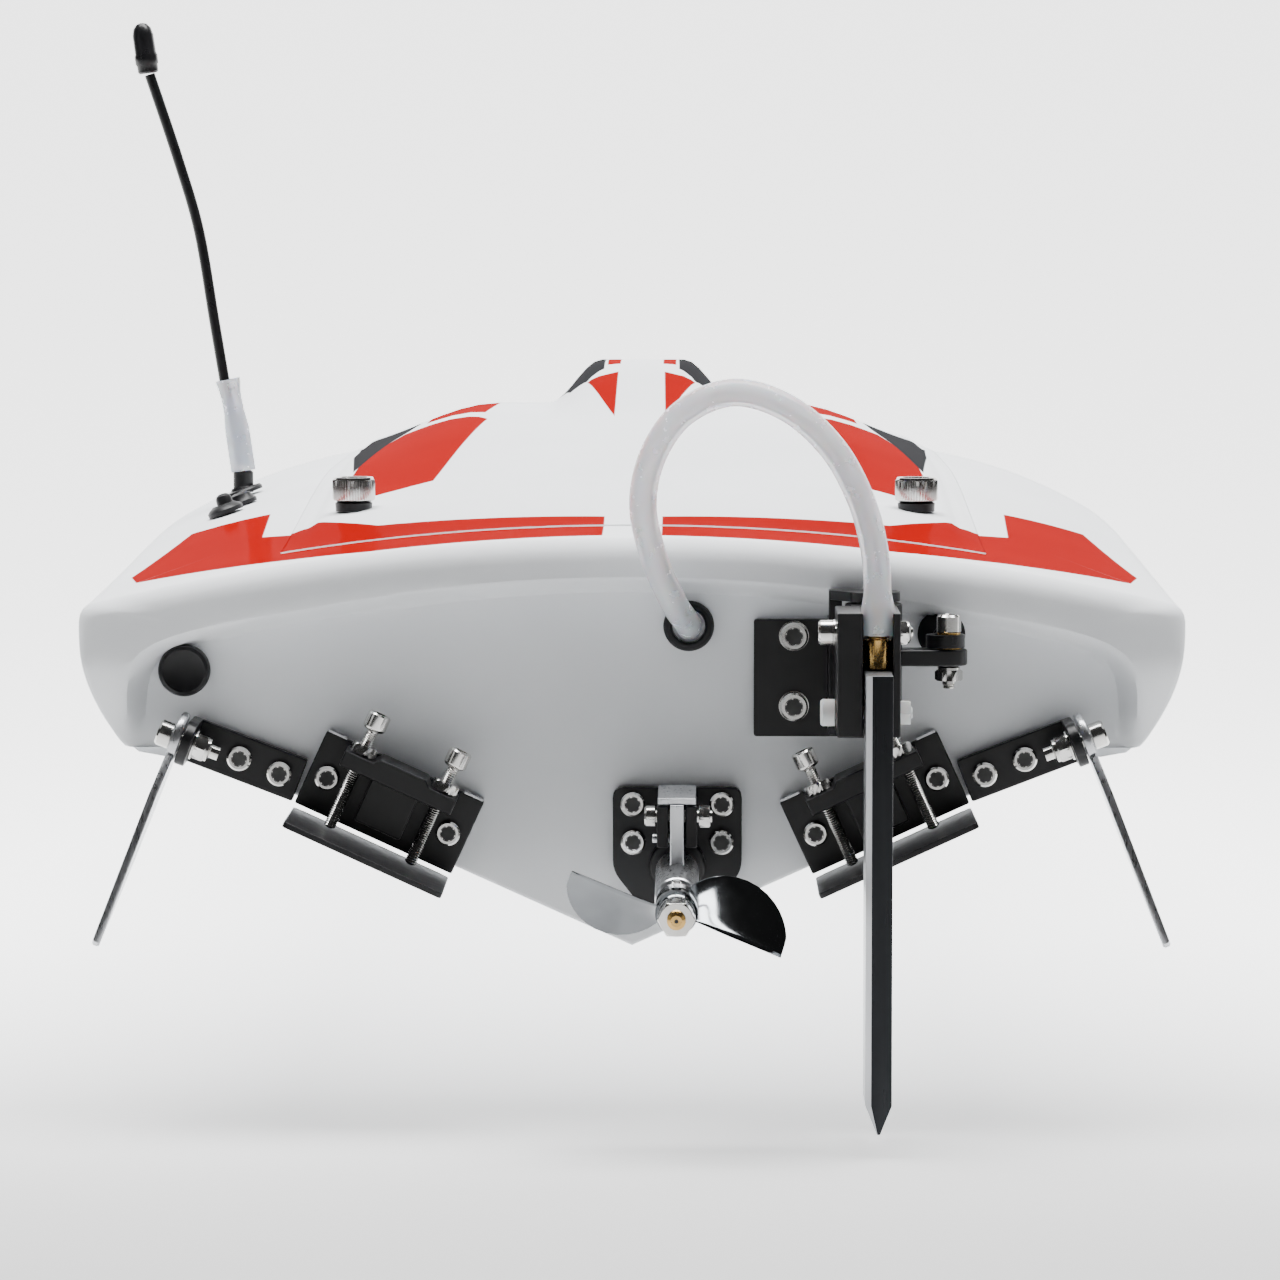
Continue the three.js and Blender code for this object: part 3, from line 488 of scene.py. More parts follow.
# ---- hull and deck ----
DECK_INNER = [0, 8, 16, 24, 32, 40, 48, 54, 58, 62, 68, 74, 79]
DECK_OUTER = [0.14, 0.3, 0.46, 0.6, 0.72, 0.82, 0.9]
SIDE_STEPS = 18
CHINE_LIFT = 0.36  # height of the side's first point above the chine


def half_section(y):
    """Starboard half of the section, from the keel up and over to the centre of the deck."""
    b, top, low = half_beam(y), sheer_z(y), chine_z(y)
    points = [(0.81 * b * k / 9, keel_z(y) + (low - keel_z(y)) * k / 9) for k in range(9)]
    points += [(0.806 * b, low - 0.25), (0.82 * b, low), (0.87 * b, low), (0.915 * b, low)]
    for k in range(SIDE_STEPS + 1):
        t = k / SIDE_STEPS
        wide = 0.925 + 0.075 * (1 - (1 - t) ** 2.2)
        lift = CHINE_LIFT if k == 0 else 0
        points.append((b * wide, low + (top - 3.2 - low) * t + lift))
    points += [(b - 0.25, top - 1.7), (b - 0.9, top - 0.5), (b - 2.2, deck_z(b - 2.2, y))]
    inner = min(79, 0.8 * b)
    outer = [b - 4 + (inner - b + 4) * f for f in [0.0] + DECK_OUTER]
    across = outer + [x * inner / 79 for x in DECK_INNER[::-1]]
    points += [(x, deck_z(x, y)) for x in across]
    return points


def full_section(y):
    right = half_section(y)
    left = [(-x, z) for x, z in right[-2:0:-1]]
    return right + left


def lip_z(x):
    return 81.6 - 7.2 * (abs(x) / 74) ** 2


def recess_outline():
    right = [(114, -20), (111, 44), (110.7, 52), (110.4, 57), (109.6, 60.6), (108.2, 63.2), (106, 65.6)]
    right += [(103, 67.6), (99, 69.2), (94, 70.6), (88, 72)]
    top = [(x, lip_z(x)) for x in range(72, -73, -8)]
    return right + top + [(-x, z) for x, z in right[::-1]]


def edge_distance(x, z, outline):
    """Distance to the outline, positive outside it."""
    best, inside = 1e9, False
    for (x0, z0), (x1, z1) in zip(outline, outline[1:] + outline[:1]):
        dx, dz = x1 - x0, z1 - z0
        t = clamp01(((x - x0) * dx + (z - z0) * dz) / (dx * dx + dz * dz))
        best = min(best, math.hypot(x - x0 - t * dx, z - z0 - t * dz))
        if (z0 > z) != (z1 > z) and x < x0 + (z - z0) / (z1 - z0) * dx:
            inside = not inside
    return -best if inside else best


def hull_skin():
    shape = Shape()
    recess = recess_outline()
    base = full_section(0)
    count = len(base)
    stations = [4, 12, 22, 34, 48, 60, 72, 85, 100, 120, 140, 160, 180, 200, 225, 250, 275, 300, 325]
    stations += [350, 380, 410, 440, 470, 500, 530, 560, 590, 620, 648, 674, 698, 720, 740, 757, 772, 784, 793, 797]

    def end_y(z):
        return -OVERHANG * smooth(41, 66, z)

    # the stern face: rings from its middle out to the rounded rim
    centre = (0, 50)
    rim = []
    for i, (x, z) in enumerate(base):
        (x0, z0), (x1, z1) = base[i - 1], base[(i + 1) % count]
        length = math.hypot(x1 - x0, z1 - z0)
        away = math.hypot(x - centre[0], z - centre[1])
        dx, dz = (centre[0] - x) / away, (centre[1] - z) / away
        slant = max(0.35, (dx * (z0 - z1) + dz * (x1 - x0)) / length)
        radius = 0.7 + 3.6 * smooth(60, 80, z) + 0.8 * smooth(50, 62, z)
        rim.append((x, z, dx / slant, dz / slant, radius))
    steps = [0.12, 0.3, 0.5, 0.66, 0.78]
    reach = []
    for x, z, in_x, in_z, radius in rim:
        x, z = x + in_x * radius, z + in_z * radius
        dx, dz = x - centre[0], z - centre[1]
        low, high = 0.0, 1.0
        if edge_distance(x, z, recess) < 0:
            reach.append(None)
            continue
        for _ in range(22):
            middle = (low + high) / 2
            if edge_distance(centre[0] + dx * middle, centre[1] + dz * middle, recess) < 0:
                low = middle
            else:
                high = middle
        reach.append(low)
    near = [-0.17, -0.12, -0.09, -0.07, -0.055, -0.042, -0.03, -0.018, -0.008, 0.002, 0.012, 0.026]
    face_rows = [[] for _ in range(len(steps) + len(near) + 1)]
    for (x, z, in_x, in_z, radius), stop in zip(rim, reach):
        dx, dz = x + in_x * radius - centre[0], z + in_z * radius - centre[1]
        edge = 1.0 if stop is None else stop
        shares = [s * 0.84 * edge for s in steps]
        shares += [min(edge + d, 1 - 0.002 * (len(near) - k)) for k, d in enumerate(near)]
        shares.append(1.0)
        for k, share in enumerate(shares):
            px, pz = centre[0] + dx * share, centre[1] + dz * share
            depth = smooth(-3.4, 0.9, edge_distance(px, pz, recess))
            face_rows[k].append(Vector((px, end_y(pz) * depth, pz)))
    rows = list(face_rows)
    for angle in (25, 50, 75, 90):
        a = math.radians(angle)
        row = []
        for x, z, in_x, in_z, radius in rim:
            inset = radius * (1 - math.sin(a))
            px, pz = x + in_x * inset, z + in_z * inset
            row.append(Vector((px, end_y(z) + radius * (1 - math.cos(a)), pz)))
        rows.append(row)
    for y in stations:
        rows.append([Vector((x, y, z)) for x, z in full_section(y)])
    shape.rings(rows)
    bm = shape.bm
    bmesh.ops.recalc_face_normals(bm, faces=bm.faces)
    if bm.calc_volume(signed=True) < 0:
        bmesh.ops.reverse_faces(bm, faces=bm.faces)
    gone = []
    for face in bm.faces:
        middle = face.calc_center_median()
        over = abs(middle.x) < OPENING_HALF and OPENING_AFT < middle.y < OPENING_FRONT
        if over and middle.z > 78:
            gone.append(face)
        elif middle.z > sheer_z(middle.y) - 2.5 and face.normal.z > 0.3:
            face.material_index = 1
    bmesh.ops.delete(bm, geom=gone, context="FACES")
    mats = [GELCOAT, GELCOAT_DECK, GELCOAT, GELCOAT]
    hull = piece("hull_skin", shape, mats, "hull", ["hull_shell", "deck_shell"], angle=34, closed=False)
    wall = hull.modifiers.new("wall", "SOLIDIFY")
    wall.thickness = WALL * MM
    wall.offset = -1
    wall.material_offset = 2
    return hull


def hatch_skin():
    """The lid: one smooth sheet with rolled edges, a crease along each side and a cockpit hump."""
    shape = Shape()
    bm = shape.bm
    ys = [22, 22.6, 24, 27, 31, 36, 42, 50, 58, 66, 75, 84, 93, 102, 112, 122, 132, 142, 152, 162, 170, 178]
    ys += [186, 194, 202, 210, 218, 226, 234, 242, 250, 258, 266, 274, 284, 294, 304, 314, 326, 338, 350]
    ys += [362, 376, 390, 404, 418, 432, 446, 460, 474, 486, 494, 499, 500]
    xs = [0, 3, 6, 9, 11, 13, 15, 17, 19, 21, 23, 25, 28, 33, 39, 44, 49, 54, 58, 62, 65.5, 68.5, 71]
    xs += [72.6, 73.8, 74.8, 75.8, 76.8, 77.8, 78.5, 79]
    xs = [-x for x in xs[:0:-1]] + xs

    def lid_z(x, y):
        half = hatch_half(y)
        side = half - abs(x)
        crease = 0.8 * math.exp(-((side - 4.6) / 1.5) ** 2) * smooth(34, 60, y) * (1 - smooth(400, 460, y))
        dent = 0.55 * smooth(96, 100, y) * (1 - smooth(140, 150, y)) * (1 - smooth(9, 13, abs(abs(x) - 26)))
        edge = smooth(-0.5, 30, y - HATCH_AFT) * smooth(-0.4, 7, side) * smooth(0, 12, HATCH_FRONT - y)
        return deck_z(x, y) + 0.35 + 2.45 * edge + hatch_rise(x, y) - 2.8 - crease - dent

    grid = []
    for y in ys:
        scale = hatch_half(y) / HATCH_HALF
        grid.append([bm.verts.new((x * scale, y, lid_z(x * scale, y))) for x in xs])
    for a, b in zip(grid, grid[1:]):
        for i in range(len(xs) - 1):
            bm.faces.new((a[i], a[i + 1], b[i + 1], b[i]))
    hatch = piece("hatch_skin", shape, [GELCOAT_HATCH, GELCOAT], "hatch", ["hatch"], angle=40, closed=False)
    skin = hatch.modifiers.new("skin", "SOLIDIFY")
    skin.thickness = 1.4 * MM
    skin.offset = -1
    skin.material_offset = 1
    skin.material_offset_rim = 1
    return hatch


hull_skin()
hatch_skin()


# ---- fasteners ----
def cap_screw(shape, x, y, z, direction, radius, height, metal=0, shadow=1, roll=10, washer=0.0):
    """Socket cap screw: seated at the point, head along direction."""
    m = aim(x, y, z, direction, roll)
    if washer:
        shape.turned([(washer, 0), (washer, 0.45), (radius, 0.45)], m, metal)
        m = m @ Matrix.Translation((0, 0, 0.45))
    r, h = radius, height
    shape.turned([(r - 0.15, 0), (r, 0.15), (r, h - 0.45), (r - 0.4, h), (r * 0.66, h), (r * 0.62, h - 0.08, "h"),
                  (r * 0.56, h - 0.3, "h")], m, metal)
    # the socket's floor: a dark hexagon of painted shade
    shape.turned([(r * 0.555, h - 0.33, "h"), (r * 0.55, h - 0.26, "h")], m, shadow)
    for k in range(6):
        a = k * PI / 3 + PI / 6
        lip = m @ Matrix.Translation((r * 0.6 * math.cos(a), r * 0.6 * math.sin(a), h - 0.2))
        shape.turned([(r * 0.1, 0), (r * 0.07, 0.16)], lip, metal, 8)


def hex_nut(shape, x, y, z, direction, half, height, metal=0, roll=0, nylon=None):
    """Hexagon nut with chamfered corners; nylon adds the collar of a lock nut."""
    m = aim(x, y, z, direction, roll)
    body = height * (0.72 if nylon is not None else 1)
    corner = half / math.cos(PI / 6)
    shape.turned([(corner * 0.9, 0), (half, 0.25, "h"), (half, body - 0.3, "h"), (corner * 0.88, body)], m, metal)
    if nylon is not None:
        shape.turned([(half * 0.95, body - 0.1), (half * 0.95, height - 0.35), (half * 0.7, height)], m, metal)
        shape.turned([(half * 0.66, height - 0.1), (half * 0.6, height + 0.05)], m, nylon)


def threaded(shape, x, y, z, direction, radius, length, metal=0, pitch=0.5):
    """The end of a threaded rod, as close-set ridges."""
    m = aim(x, y, z, direction)
    profile = []
    count = max(2, int(length / pitch))
    for k in range(count):
        profile += [(radius * 0.84, k * pitch), (radius, (k + 0.5) * pitch)]
    profile += [(radius * 0.8, count * pitch)]
    shape.turned(profile, m, metal, 24)


# ---- thumb screws ----
THUMB_X, THUMB_Y = 65, 62
THUMB_HEAD = 6.4  # height of the collar and the knurled head


def thumb_screws():
    for side, s in (("port", -1), ("starboard", 1)):
        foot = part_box(f"thumb_screw_{side}")[1].z / MM - THUMB_HEAD
        m = place(s * THUMB_X, THUMB_Y, foot)
        shape = Shape()
        shape.turned([(1.7, -8), (1.7, 0.2)], m, 0, 24)
        shape.turned([(4.2, -1.5), (4.3, 0.4), (3.6, 0.8)], m, 1)
        shape.turned([(4.2, 0.8), (4.72, 1.1), (4.9, 1.3, "k"), (4.9, 5.6, "k"), (4.7, 5.9), (4.5, 6.35), (3.7, 6.35),
                      (3.1, 5.4)], m, 0, 96)
        # the dip in the head's top: a dark disc of painted shade
        shape.turned([(3.08, 5.35), (2.9, 5.44)], m, 2)
        piece(f"thumb_screw_{side}_head", shape, [STEEL, RUBBER, STEEL_PAINTED_SHADE], f"thumb_screw_{side}",
              [f"thumb_screw_{side}"], angle=25)


# ---- antenna and switch ----
ANTENNA_X, ANTENNA_Y = -99.4, 170
SWITCH_X, SWITCH_Y = -100.5, 131


def antenna():
    x, y = ANTENNA_X, ANTENNA_Y
    deck = deck_z(x, y)
    slope = 20  # of the deck here, in degrees
    base = Shape()
    m = place(x, y, deck + 0.9, 0, -slope)
    base.turned([(5.0, -0.3), (5.05, 0.5), (4.6, 1.0), (2.9, 1.2), (2.5, 1.9)], m, 0)
    m = place(x, y, deck + 1.2)
    base.turned([(2.5, 0), (2.5, 4.9), (2.1, 5.4)], m, 0)
    piece("antenna_foot", base, [RUBBER], "hull", ["antenna_base"])
    foot = deck + 6.9
    sleeve = Shape()
    line = curve_through([(x, y, foot - 0.4), (x - 1.8, y, foot + 12), (x - 3.8, y, foot + 22.5)], 6)
    count = len(line)
    outer = [3.1 - 0.55 * smooth(0.35, 0.6, i / count) * (1 - smooth(0.7, 0.9, i / count)) for i in range(count)]
    sleeve.tube(line, outer, count=32, hollow=[r - 0.6 for r in outer])
    piece("antenna_sleeve_clear", sleeve, [SILICONE], "hull", ["antenna_sleeve"])
    cable = Shape()
    cable.tube([Vector(p) + Vector((0.7, 0, 0)) for p in line[1:8]], 1.25, material=0)
    cable.tube([Vector(p) + Vector((-0.6, 0, 0)) for p in line[1:12]], 1.0, material=1)
    piece("antenna_cable", cable, [BLUE_CABLE, BLUE_CABLE], "hull")
    rod = Shape()
    points = [(x - 3.9, y, foot + 18), (x - 7, y, foot + 36.9), (x - 10.7, y, foot + 59.4)]
    points += [(x - 15.7, y, foot + 77), (x - 22.8, y, foot + 98.5)]
    rod.tube(curve_through(points, 8), 1.32)
    piece("antenna_whip", rod, [BLACK_PLASTIC], "hull", ["antenna_rod"])
    cap = Shape()
    m = place(x - 23.1, y, foot + 98.8, 0, -8)
    cap.turned([(2.2, 0), (2.55, 0.4), (2.6, 2.0), (2.85, 2.4), (2.9, 4.4), (2.65, 4.9), (2.6, 9.5), (2.2, 11.2),
                (1.3, 12.3), (0.4, 12.6)], m, 0)
    piece("antenna_tip", cap, [BLACK_PLASTIC], "hull", ["antenna_cap"])


def power_switch():
    x, y = SWITCH_X, SWITCH_Y
    deck = deck_z(x, y)
    m = place(x, y, deck + 0.7, 0, -20)
    boot = Shape()
    boot.turned([(4.4, -0.4), (4.45, 0.6), (3.9, 1.2), (3.3, 1.5), (2.7, 1.9)], m, 0)
    m2 = place(x + 3.2, y + 12, deck_z(x + 3.2, y + 12) + 0.5, 0, -19)
    boot.turned([(3.5, -0.4), (3.6, 0.5), (2.9, 1.1), (2.5, 2.2), (1.6, 2.6)], m2, 0)
    piece("switch_cover", boot, [RUBBER], "hull", ["switch_boot"])
    button = Shape()
    m = place(x, y, deck + 1.9, 0, -16)
    button.turned([(1.9, -5), (2.0, -1), (2.0, 1.9), (1.7, 2.7), (1.0, 3.2), (0.3, 3.3)], m, 0, 32)
    piece("switch_cap", button, [RUBBER], "switch_button", ["switch_button"])


# ---- drain plug, grommet and hose ----
HOSE_ROUTE = [
    (52.5, -46, 72.6), (52.5, -46, 80), (51.9, -46, 90), (49, -45.6, 101), (43, -45, 112), (33.5, -44, 120.5),
    (22, -42.5, 123.8), (11.5, -40, 119.5), (5, -36.5, 110.5), (2.7, -31.5, 99.5), (4.9, -25, 88), (9.1, -16.5, 77.5),
    (11.9, -7.5, 72.6), (12.5, -1, 71), (12.5, 8, 70.8), (12.5, 40, 66), (14, 90, 62), (18, 150, 60), (20, 210, 61),
    (17, 250, 62.8), (11, 270, 64.5),
]
DRAIN_X, DRAIN_Z = -98.5, 61.2
GROMMET_X, GROMMET_Z = 12.5, 71


def hose_and_plugs():
    plug = Shape()
    m = place(DRAIN_X, 0, DRAIN_Z, 90)
    plug.turned([(3.6, -4), (3.8, 0.2), (5.6, 0.3), (5.7, 1.0), (5.7, 3.0), (5.35, 3.7), (4.7, 4.0), (4.2, 3.7),
                 (1.0, 3.5)], m, 0)
    piece("drain_plug_cap", plug, [RUBBER], "drain_plug", ["drain_plug"])
    grommet = Shape()
    m = place(GROMMET_X, 0, GROMMET_Z, 90)
    section = [(3.7, -2.0), (3.9, 0.2), (5.35, 0.3), (5.6, 0.9), (5.4, 1.6), (4.9, 2.1), (4.2, 2.2), (3.7, 1.7),
               (3.55, 0.5)]
    grommet.rings([ring(r, z) for r, z in section], m, closed=True)
    grommet.turned([(3.6, -0.6), (3.2, -0.2)], m, 0)
    piece("grommet", grommet, [RUBBER], "hull", ["hose_grommet"])
    hose = Shape()
    line = curve_through(HOSE_ROUTE, 8)
    outer, inner = [], []
    run = 0.0
    for i, p in enumerate(line):
        if i:
            run += (p - line[i - 1]).length
        flare = 0.75 * (1 - smooth(4.5, 9.5, run))
        outer.append(2.95 + flare)
        inner.append(1.55 + flare * 0.9)
    hose.tube(line, outer, count=32, hollow=inner)
    made = piece("water_hose_tube", hose, [SILICONE], None, ["water_hose"])
    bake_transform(made)
    nipple = Shape()
    m = place(52.5, -46, 65.6)
    nipple.turned([(3.1, 0), (2.9, 0.3, "h"), (2.9, 5.7, "h"), (3.0, 6.1), (2.1, 6.3), (1.8, 6.9), (2.05, 8.6),
                   (1.65, 9.0), (2.05, 10.6), (1.6, 11.0), (2.0, 12.6), (1.4, 13.4)], m, 0)
    piece("water_fitting", nipple, [BRASS], "rudder", ["water_nipple"])


thumb_screws()
antenna()
power_switch()
hose_and_plugs()


# ---- rudder group ----
PIN_X, PIN_Y = 52.5, -20


def rounded(points, radius, steps=4):
    """The outline with its corners rounded off."""
    result = []
    count = len(points)
    for i, (x, z) in enumerate(points):
        (ax, az), (bx, bz) = points[i - 1], points[(i + 1) % count]
        la, lb = math.hypot(ax - x, az - z), math.hypot(bx - x, bz - z)
        cut = min(radius, la * 0.45, lb * 0.45)
        p0 = (x + (ax - x) / la * cut, z + (az - z) / la * cut)
        p1 = (x + (bx - x) / lb * cut, z + (bz - z) / lb * cut)
        for k in range(steps + 1):
            t = k / steps
            result.append(((1 - t) ** 2 * p0[0] + 2 * t * (1 - t) * x + t * t * p1[0],
                           (1 - t) ** 2 * p0[1] + 2 * t * (1 - t) * z + t * t * p1[1]))
    return result


def rudder_group():
    aft = (0, -1, 0)
    # the bracket: an angle of thick plate with an eye above and below the block
    bracket = Shape()
    bracket.slab(rounded([(26.8, 46.8), (45.8, 46.8), (45.8, 72.6), (26.8, 72.6)], 0.7), -2.8, -0.3)
    bracket.block(42.95, 45.75, -17, -2.9, 48.6, 73.6)
    bracket.block(42.95, 45.75, -17, -12.5, 73.6, 80.0)
    for z in (48.65, 77.95):
        outline = [(43.2, -12.6), (43.2, -17), (47.4, -23)]
        outline += [(PIN_X + 5.7 * math.cos(a), PIN_Y + 5.7 * math.sin(a))
                    for a in (math.radians(211 + k * 11) for k in range(17))]
        outline += [(52, -12.6)]
        rows = [[Vector((x, y, h)) for x, y in outline] for h in (z, z + 2.1)]
        bracket.rings(rows)
    piece("rudder_bracket_plate", bracket, [BLACK_METAL], "hull", ["rudder_bracket"], bevel=0.35)
    screws = Shape()
    for z in (69.0, 53.5):
        cap_screw(screws, 35.6, -2.8, z, aft, 3.1, 2.6, washer=3.3)
    piece("rudder_bracket_screws", screws, [STEEL, STEEL_PAINTED_SHADE], "hull")
    pin = Shape()
    pin.turned([(1.5, 47.4), (1.5, 48.4), (1.5, 80.6), (1.3, 81.4)], place(PIN_X, PIN_Y), 0, 32)
    pin.turned([(2.6, 80.15), (2.6, 81.0), (2.2, 81.5)], place(PIN_X, PIN_Y), 0, 32)
    piece("rudder_pin_rod", pin, [STEEL], "hull", ["rudder_pin"])
    # the block: barrel on the pin, and a fork that holds the blade
    block = Shape()
    low, high = 51.1, 77.5
    block.turned([(6.0, low), (6.2, low + 0.3), (6.2, high - 0.3), (6.0, high)], place(PIN_X, PIN_Y))
    block.block(47.5, 57.1, -29, -22, low, high)
    for x0, x1 in ((43.9, 49.35), (55.65, 57.3)):
        block.block(x0, x1, -50, -28, low, high)
    block.block(49.3, 55.7, -35.5, -28, low, high)
    piece("steering_block_body", block, [BLACK_METAL], "rudder", ["steering_block"], bevel=0.4)
    # the blade: long wedge of bar, pointed below; its aft face is painted dark up to the fork as shade and dark
    # reflection, and its port corner is cut
    blade = Shape()
    half, fore, rear = 2.8, -36.2, -61.8
    rows = []
    for z, wide, front in ((-31.6, 0.12, 13), (-25.5, 1.0, 0), (0, 1.0, 0), (30, 1.0, 0), (65.2, 1.0, 0)):
        h = half * wide
        cut = 1.25 * wide
        row = [(h, rear), (h, fore - 9), (0.5 * wide, fore), (-0.5 * wide, fore), (-h, fore - 9),
               (-h, rear + cut), (cut - h, rear)]
        rows.append([Vector((PIN_X + x, y - (0 if y < rear + 2 else front * 0.2), z)) for x, y in row])
    blade.rings(rows)
    blade.block(PIN_X - 2.75, PIN_X + 2.75, -42.5, -36.1, 60, 76.7)
    blade.bm.normal_update()
    # faces that don't look sideways, below the fork, take the copy painted dark as shade and reflection
    for face in blade.bm.faces:
        if abs(face.normal.x) < 0.5 and face.calc_center_median().z < 60:
            face.material_index = 1
    piece("rudder_blade_bar", blade, [BLADE_METAL, BLADE_PAINTED_SHADE], "rudder", ["rudder_blade"], bevel=0.25)
    for name, node, z, metal, slot_name, radius in (
        ("rudder_pivot_screw", "rudder_pivot_bolt", 72.6, STEEL, "steel", 2.7),
        ("rudder_shear_screw", "rudder_shear_bolt", 55.5, NYLON, "nylon", 2.9),
    ):
        bolt = Shape()
        cap_screw(bolt, 43.7, -39.3, z, (-1, 0, 0), radius, 3.1, washer=radius + 0.1 if metal is STEEL else 0)
        hex_nut(bolt, 57.35, -39.3, z, (1, 0, 0), 2.45, 2.4, nylon=0 if metal is STEEL else None)
        threaded(bolt, 59.2, -39.3, z, (1, 0, 0), 1.3, 1.0)
        bolt.turned([(1.45, 0), (1.45, 14.5)], aim(43.4, -39.3, z, (1, 0, 0)), 0, 24)
        shadow = STEEL_PAINTED_SHADE if metal is STEEL else NYLON
        piece(name, bolt, [metal, shadow], "rudder", [node])
    # tiller arm with its stud, the ball link and the boot
    arm = Shape()
    outline = [(PIN_X + 5.6, PIN_Y - 4), (PIN_X + 16.3, PIN_Y - 4)]
    outline += [(PIN_X + 16.3 + 4 * math.cos(a), PIN_Y + 4 * math.sin(a))
                for a in (math.radians(-80 + 16 * k) for k in range(11))]
    outline += [(PIN_X + 16.3, PIN_Y + 4), (PIN_X + 5.6, PIN_Y + 4)]
    arm.rings([[Vector((x, y, z)) for x, y in outline] for z in (64.05, 67.55)])
    piece("tiller_plate", arm, [BLACK_METAL], "rudder", ["tiller_arm"], bevel=0.4)
    stud = Shape()
    end = PIN_X + 16.3
    stud.turned([(1.45, 60), (1.45, 71.5)], place(end, PIN_Y), 0, 24)
    stud.turned([(2.6, 67.6), (2.6, 68.0)], place(end, PIN_Y), 2, 32)
    stud.turned([(2.5, 70.75), (2.5, 71.15)], place(end, PIN_Y), 2, 32)
    cap_screw(stud, end, PIN_Y, 71.2, (0, 0, 1), 2.65, 3.8)
    # the lock nut's insert ring, under the arm, takes the steel painted as shade
    hex_nut(stud, end, PIN_Y, 60.7, (0, 0, 1), 2.6, 3.2, nylon=1)
    threaded(stud, end, PIN_Y, 59.0, (0, 0, 1), 1.4, 1.8)
    piece("tiller_stud", stud, [STEEL, STEEL_PAINTED_SHADE, BRASS], "rudder", ["tiller_ball_bolt"])
    rod = Shape()
    x, z = 68.04, 69.3
    for y in (PIN_Y, 70):
        rod.rings([ring(r, h) for r, h in ((2.55, -1.4), (4.2, -1.4), (4.2, 1.4), (2.55, 1.4))],
                  place(x, y, z), 1, closed=True)
    for y, way in ((PIN_Y + 3.8, 1), (66.2, -1)):
        rod.turned([(1.9, 0), (2.0, 0.3), (2.0, 5.5), (1.3, 6.2)], aim(x, y, z, (0, way, 0)), 1, 24)
    rod.turned([(1.1, 0), (1.1, 83)], aim(x, PIN_Y + 3.6, z, (0, 1, 0)), 0, 24)
    piece("pushrod_wire", rod, [STEEL, BLACK_PLASTIC], "pushrod", ["pushrod"])
    boot = Shape()
    section = [(1.5, 0.35), (5.2, 0.35), (5.25, 1.4)]
    for k in range(3):
        section += [(4.5 - 0.42 * k, 1.9 + 1.9 * k), (3.7 - 0.4 * k, 2.5 + 1.9 * k), (4.5 - 0.42 * k, 3.1 + 1.9 * k),
                    (4.7 - 0.48 * k, 3.5 + 1.9 * k)]
    section += [(2.3, 8.1), (2.25, 10.2), (1.7, 10.35), (1.45, 9.8), (1.45, 0.6)]
    boot.rings([ring(r, h, count=40) for r, h in section], aim(x, 0, z, (0, -1, 0)), closed=True)
    made = piece("pushrod_bellows", boot, [RUBBER], None, ["pushrod_boot"])
    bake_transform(made)


rudder_group()


# ---- drive line ----
SHAFT_X, SHAFT_Z, SHAFT_TILT = 10, 18.5, 4


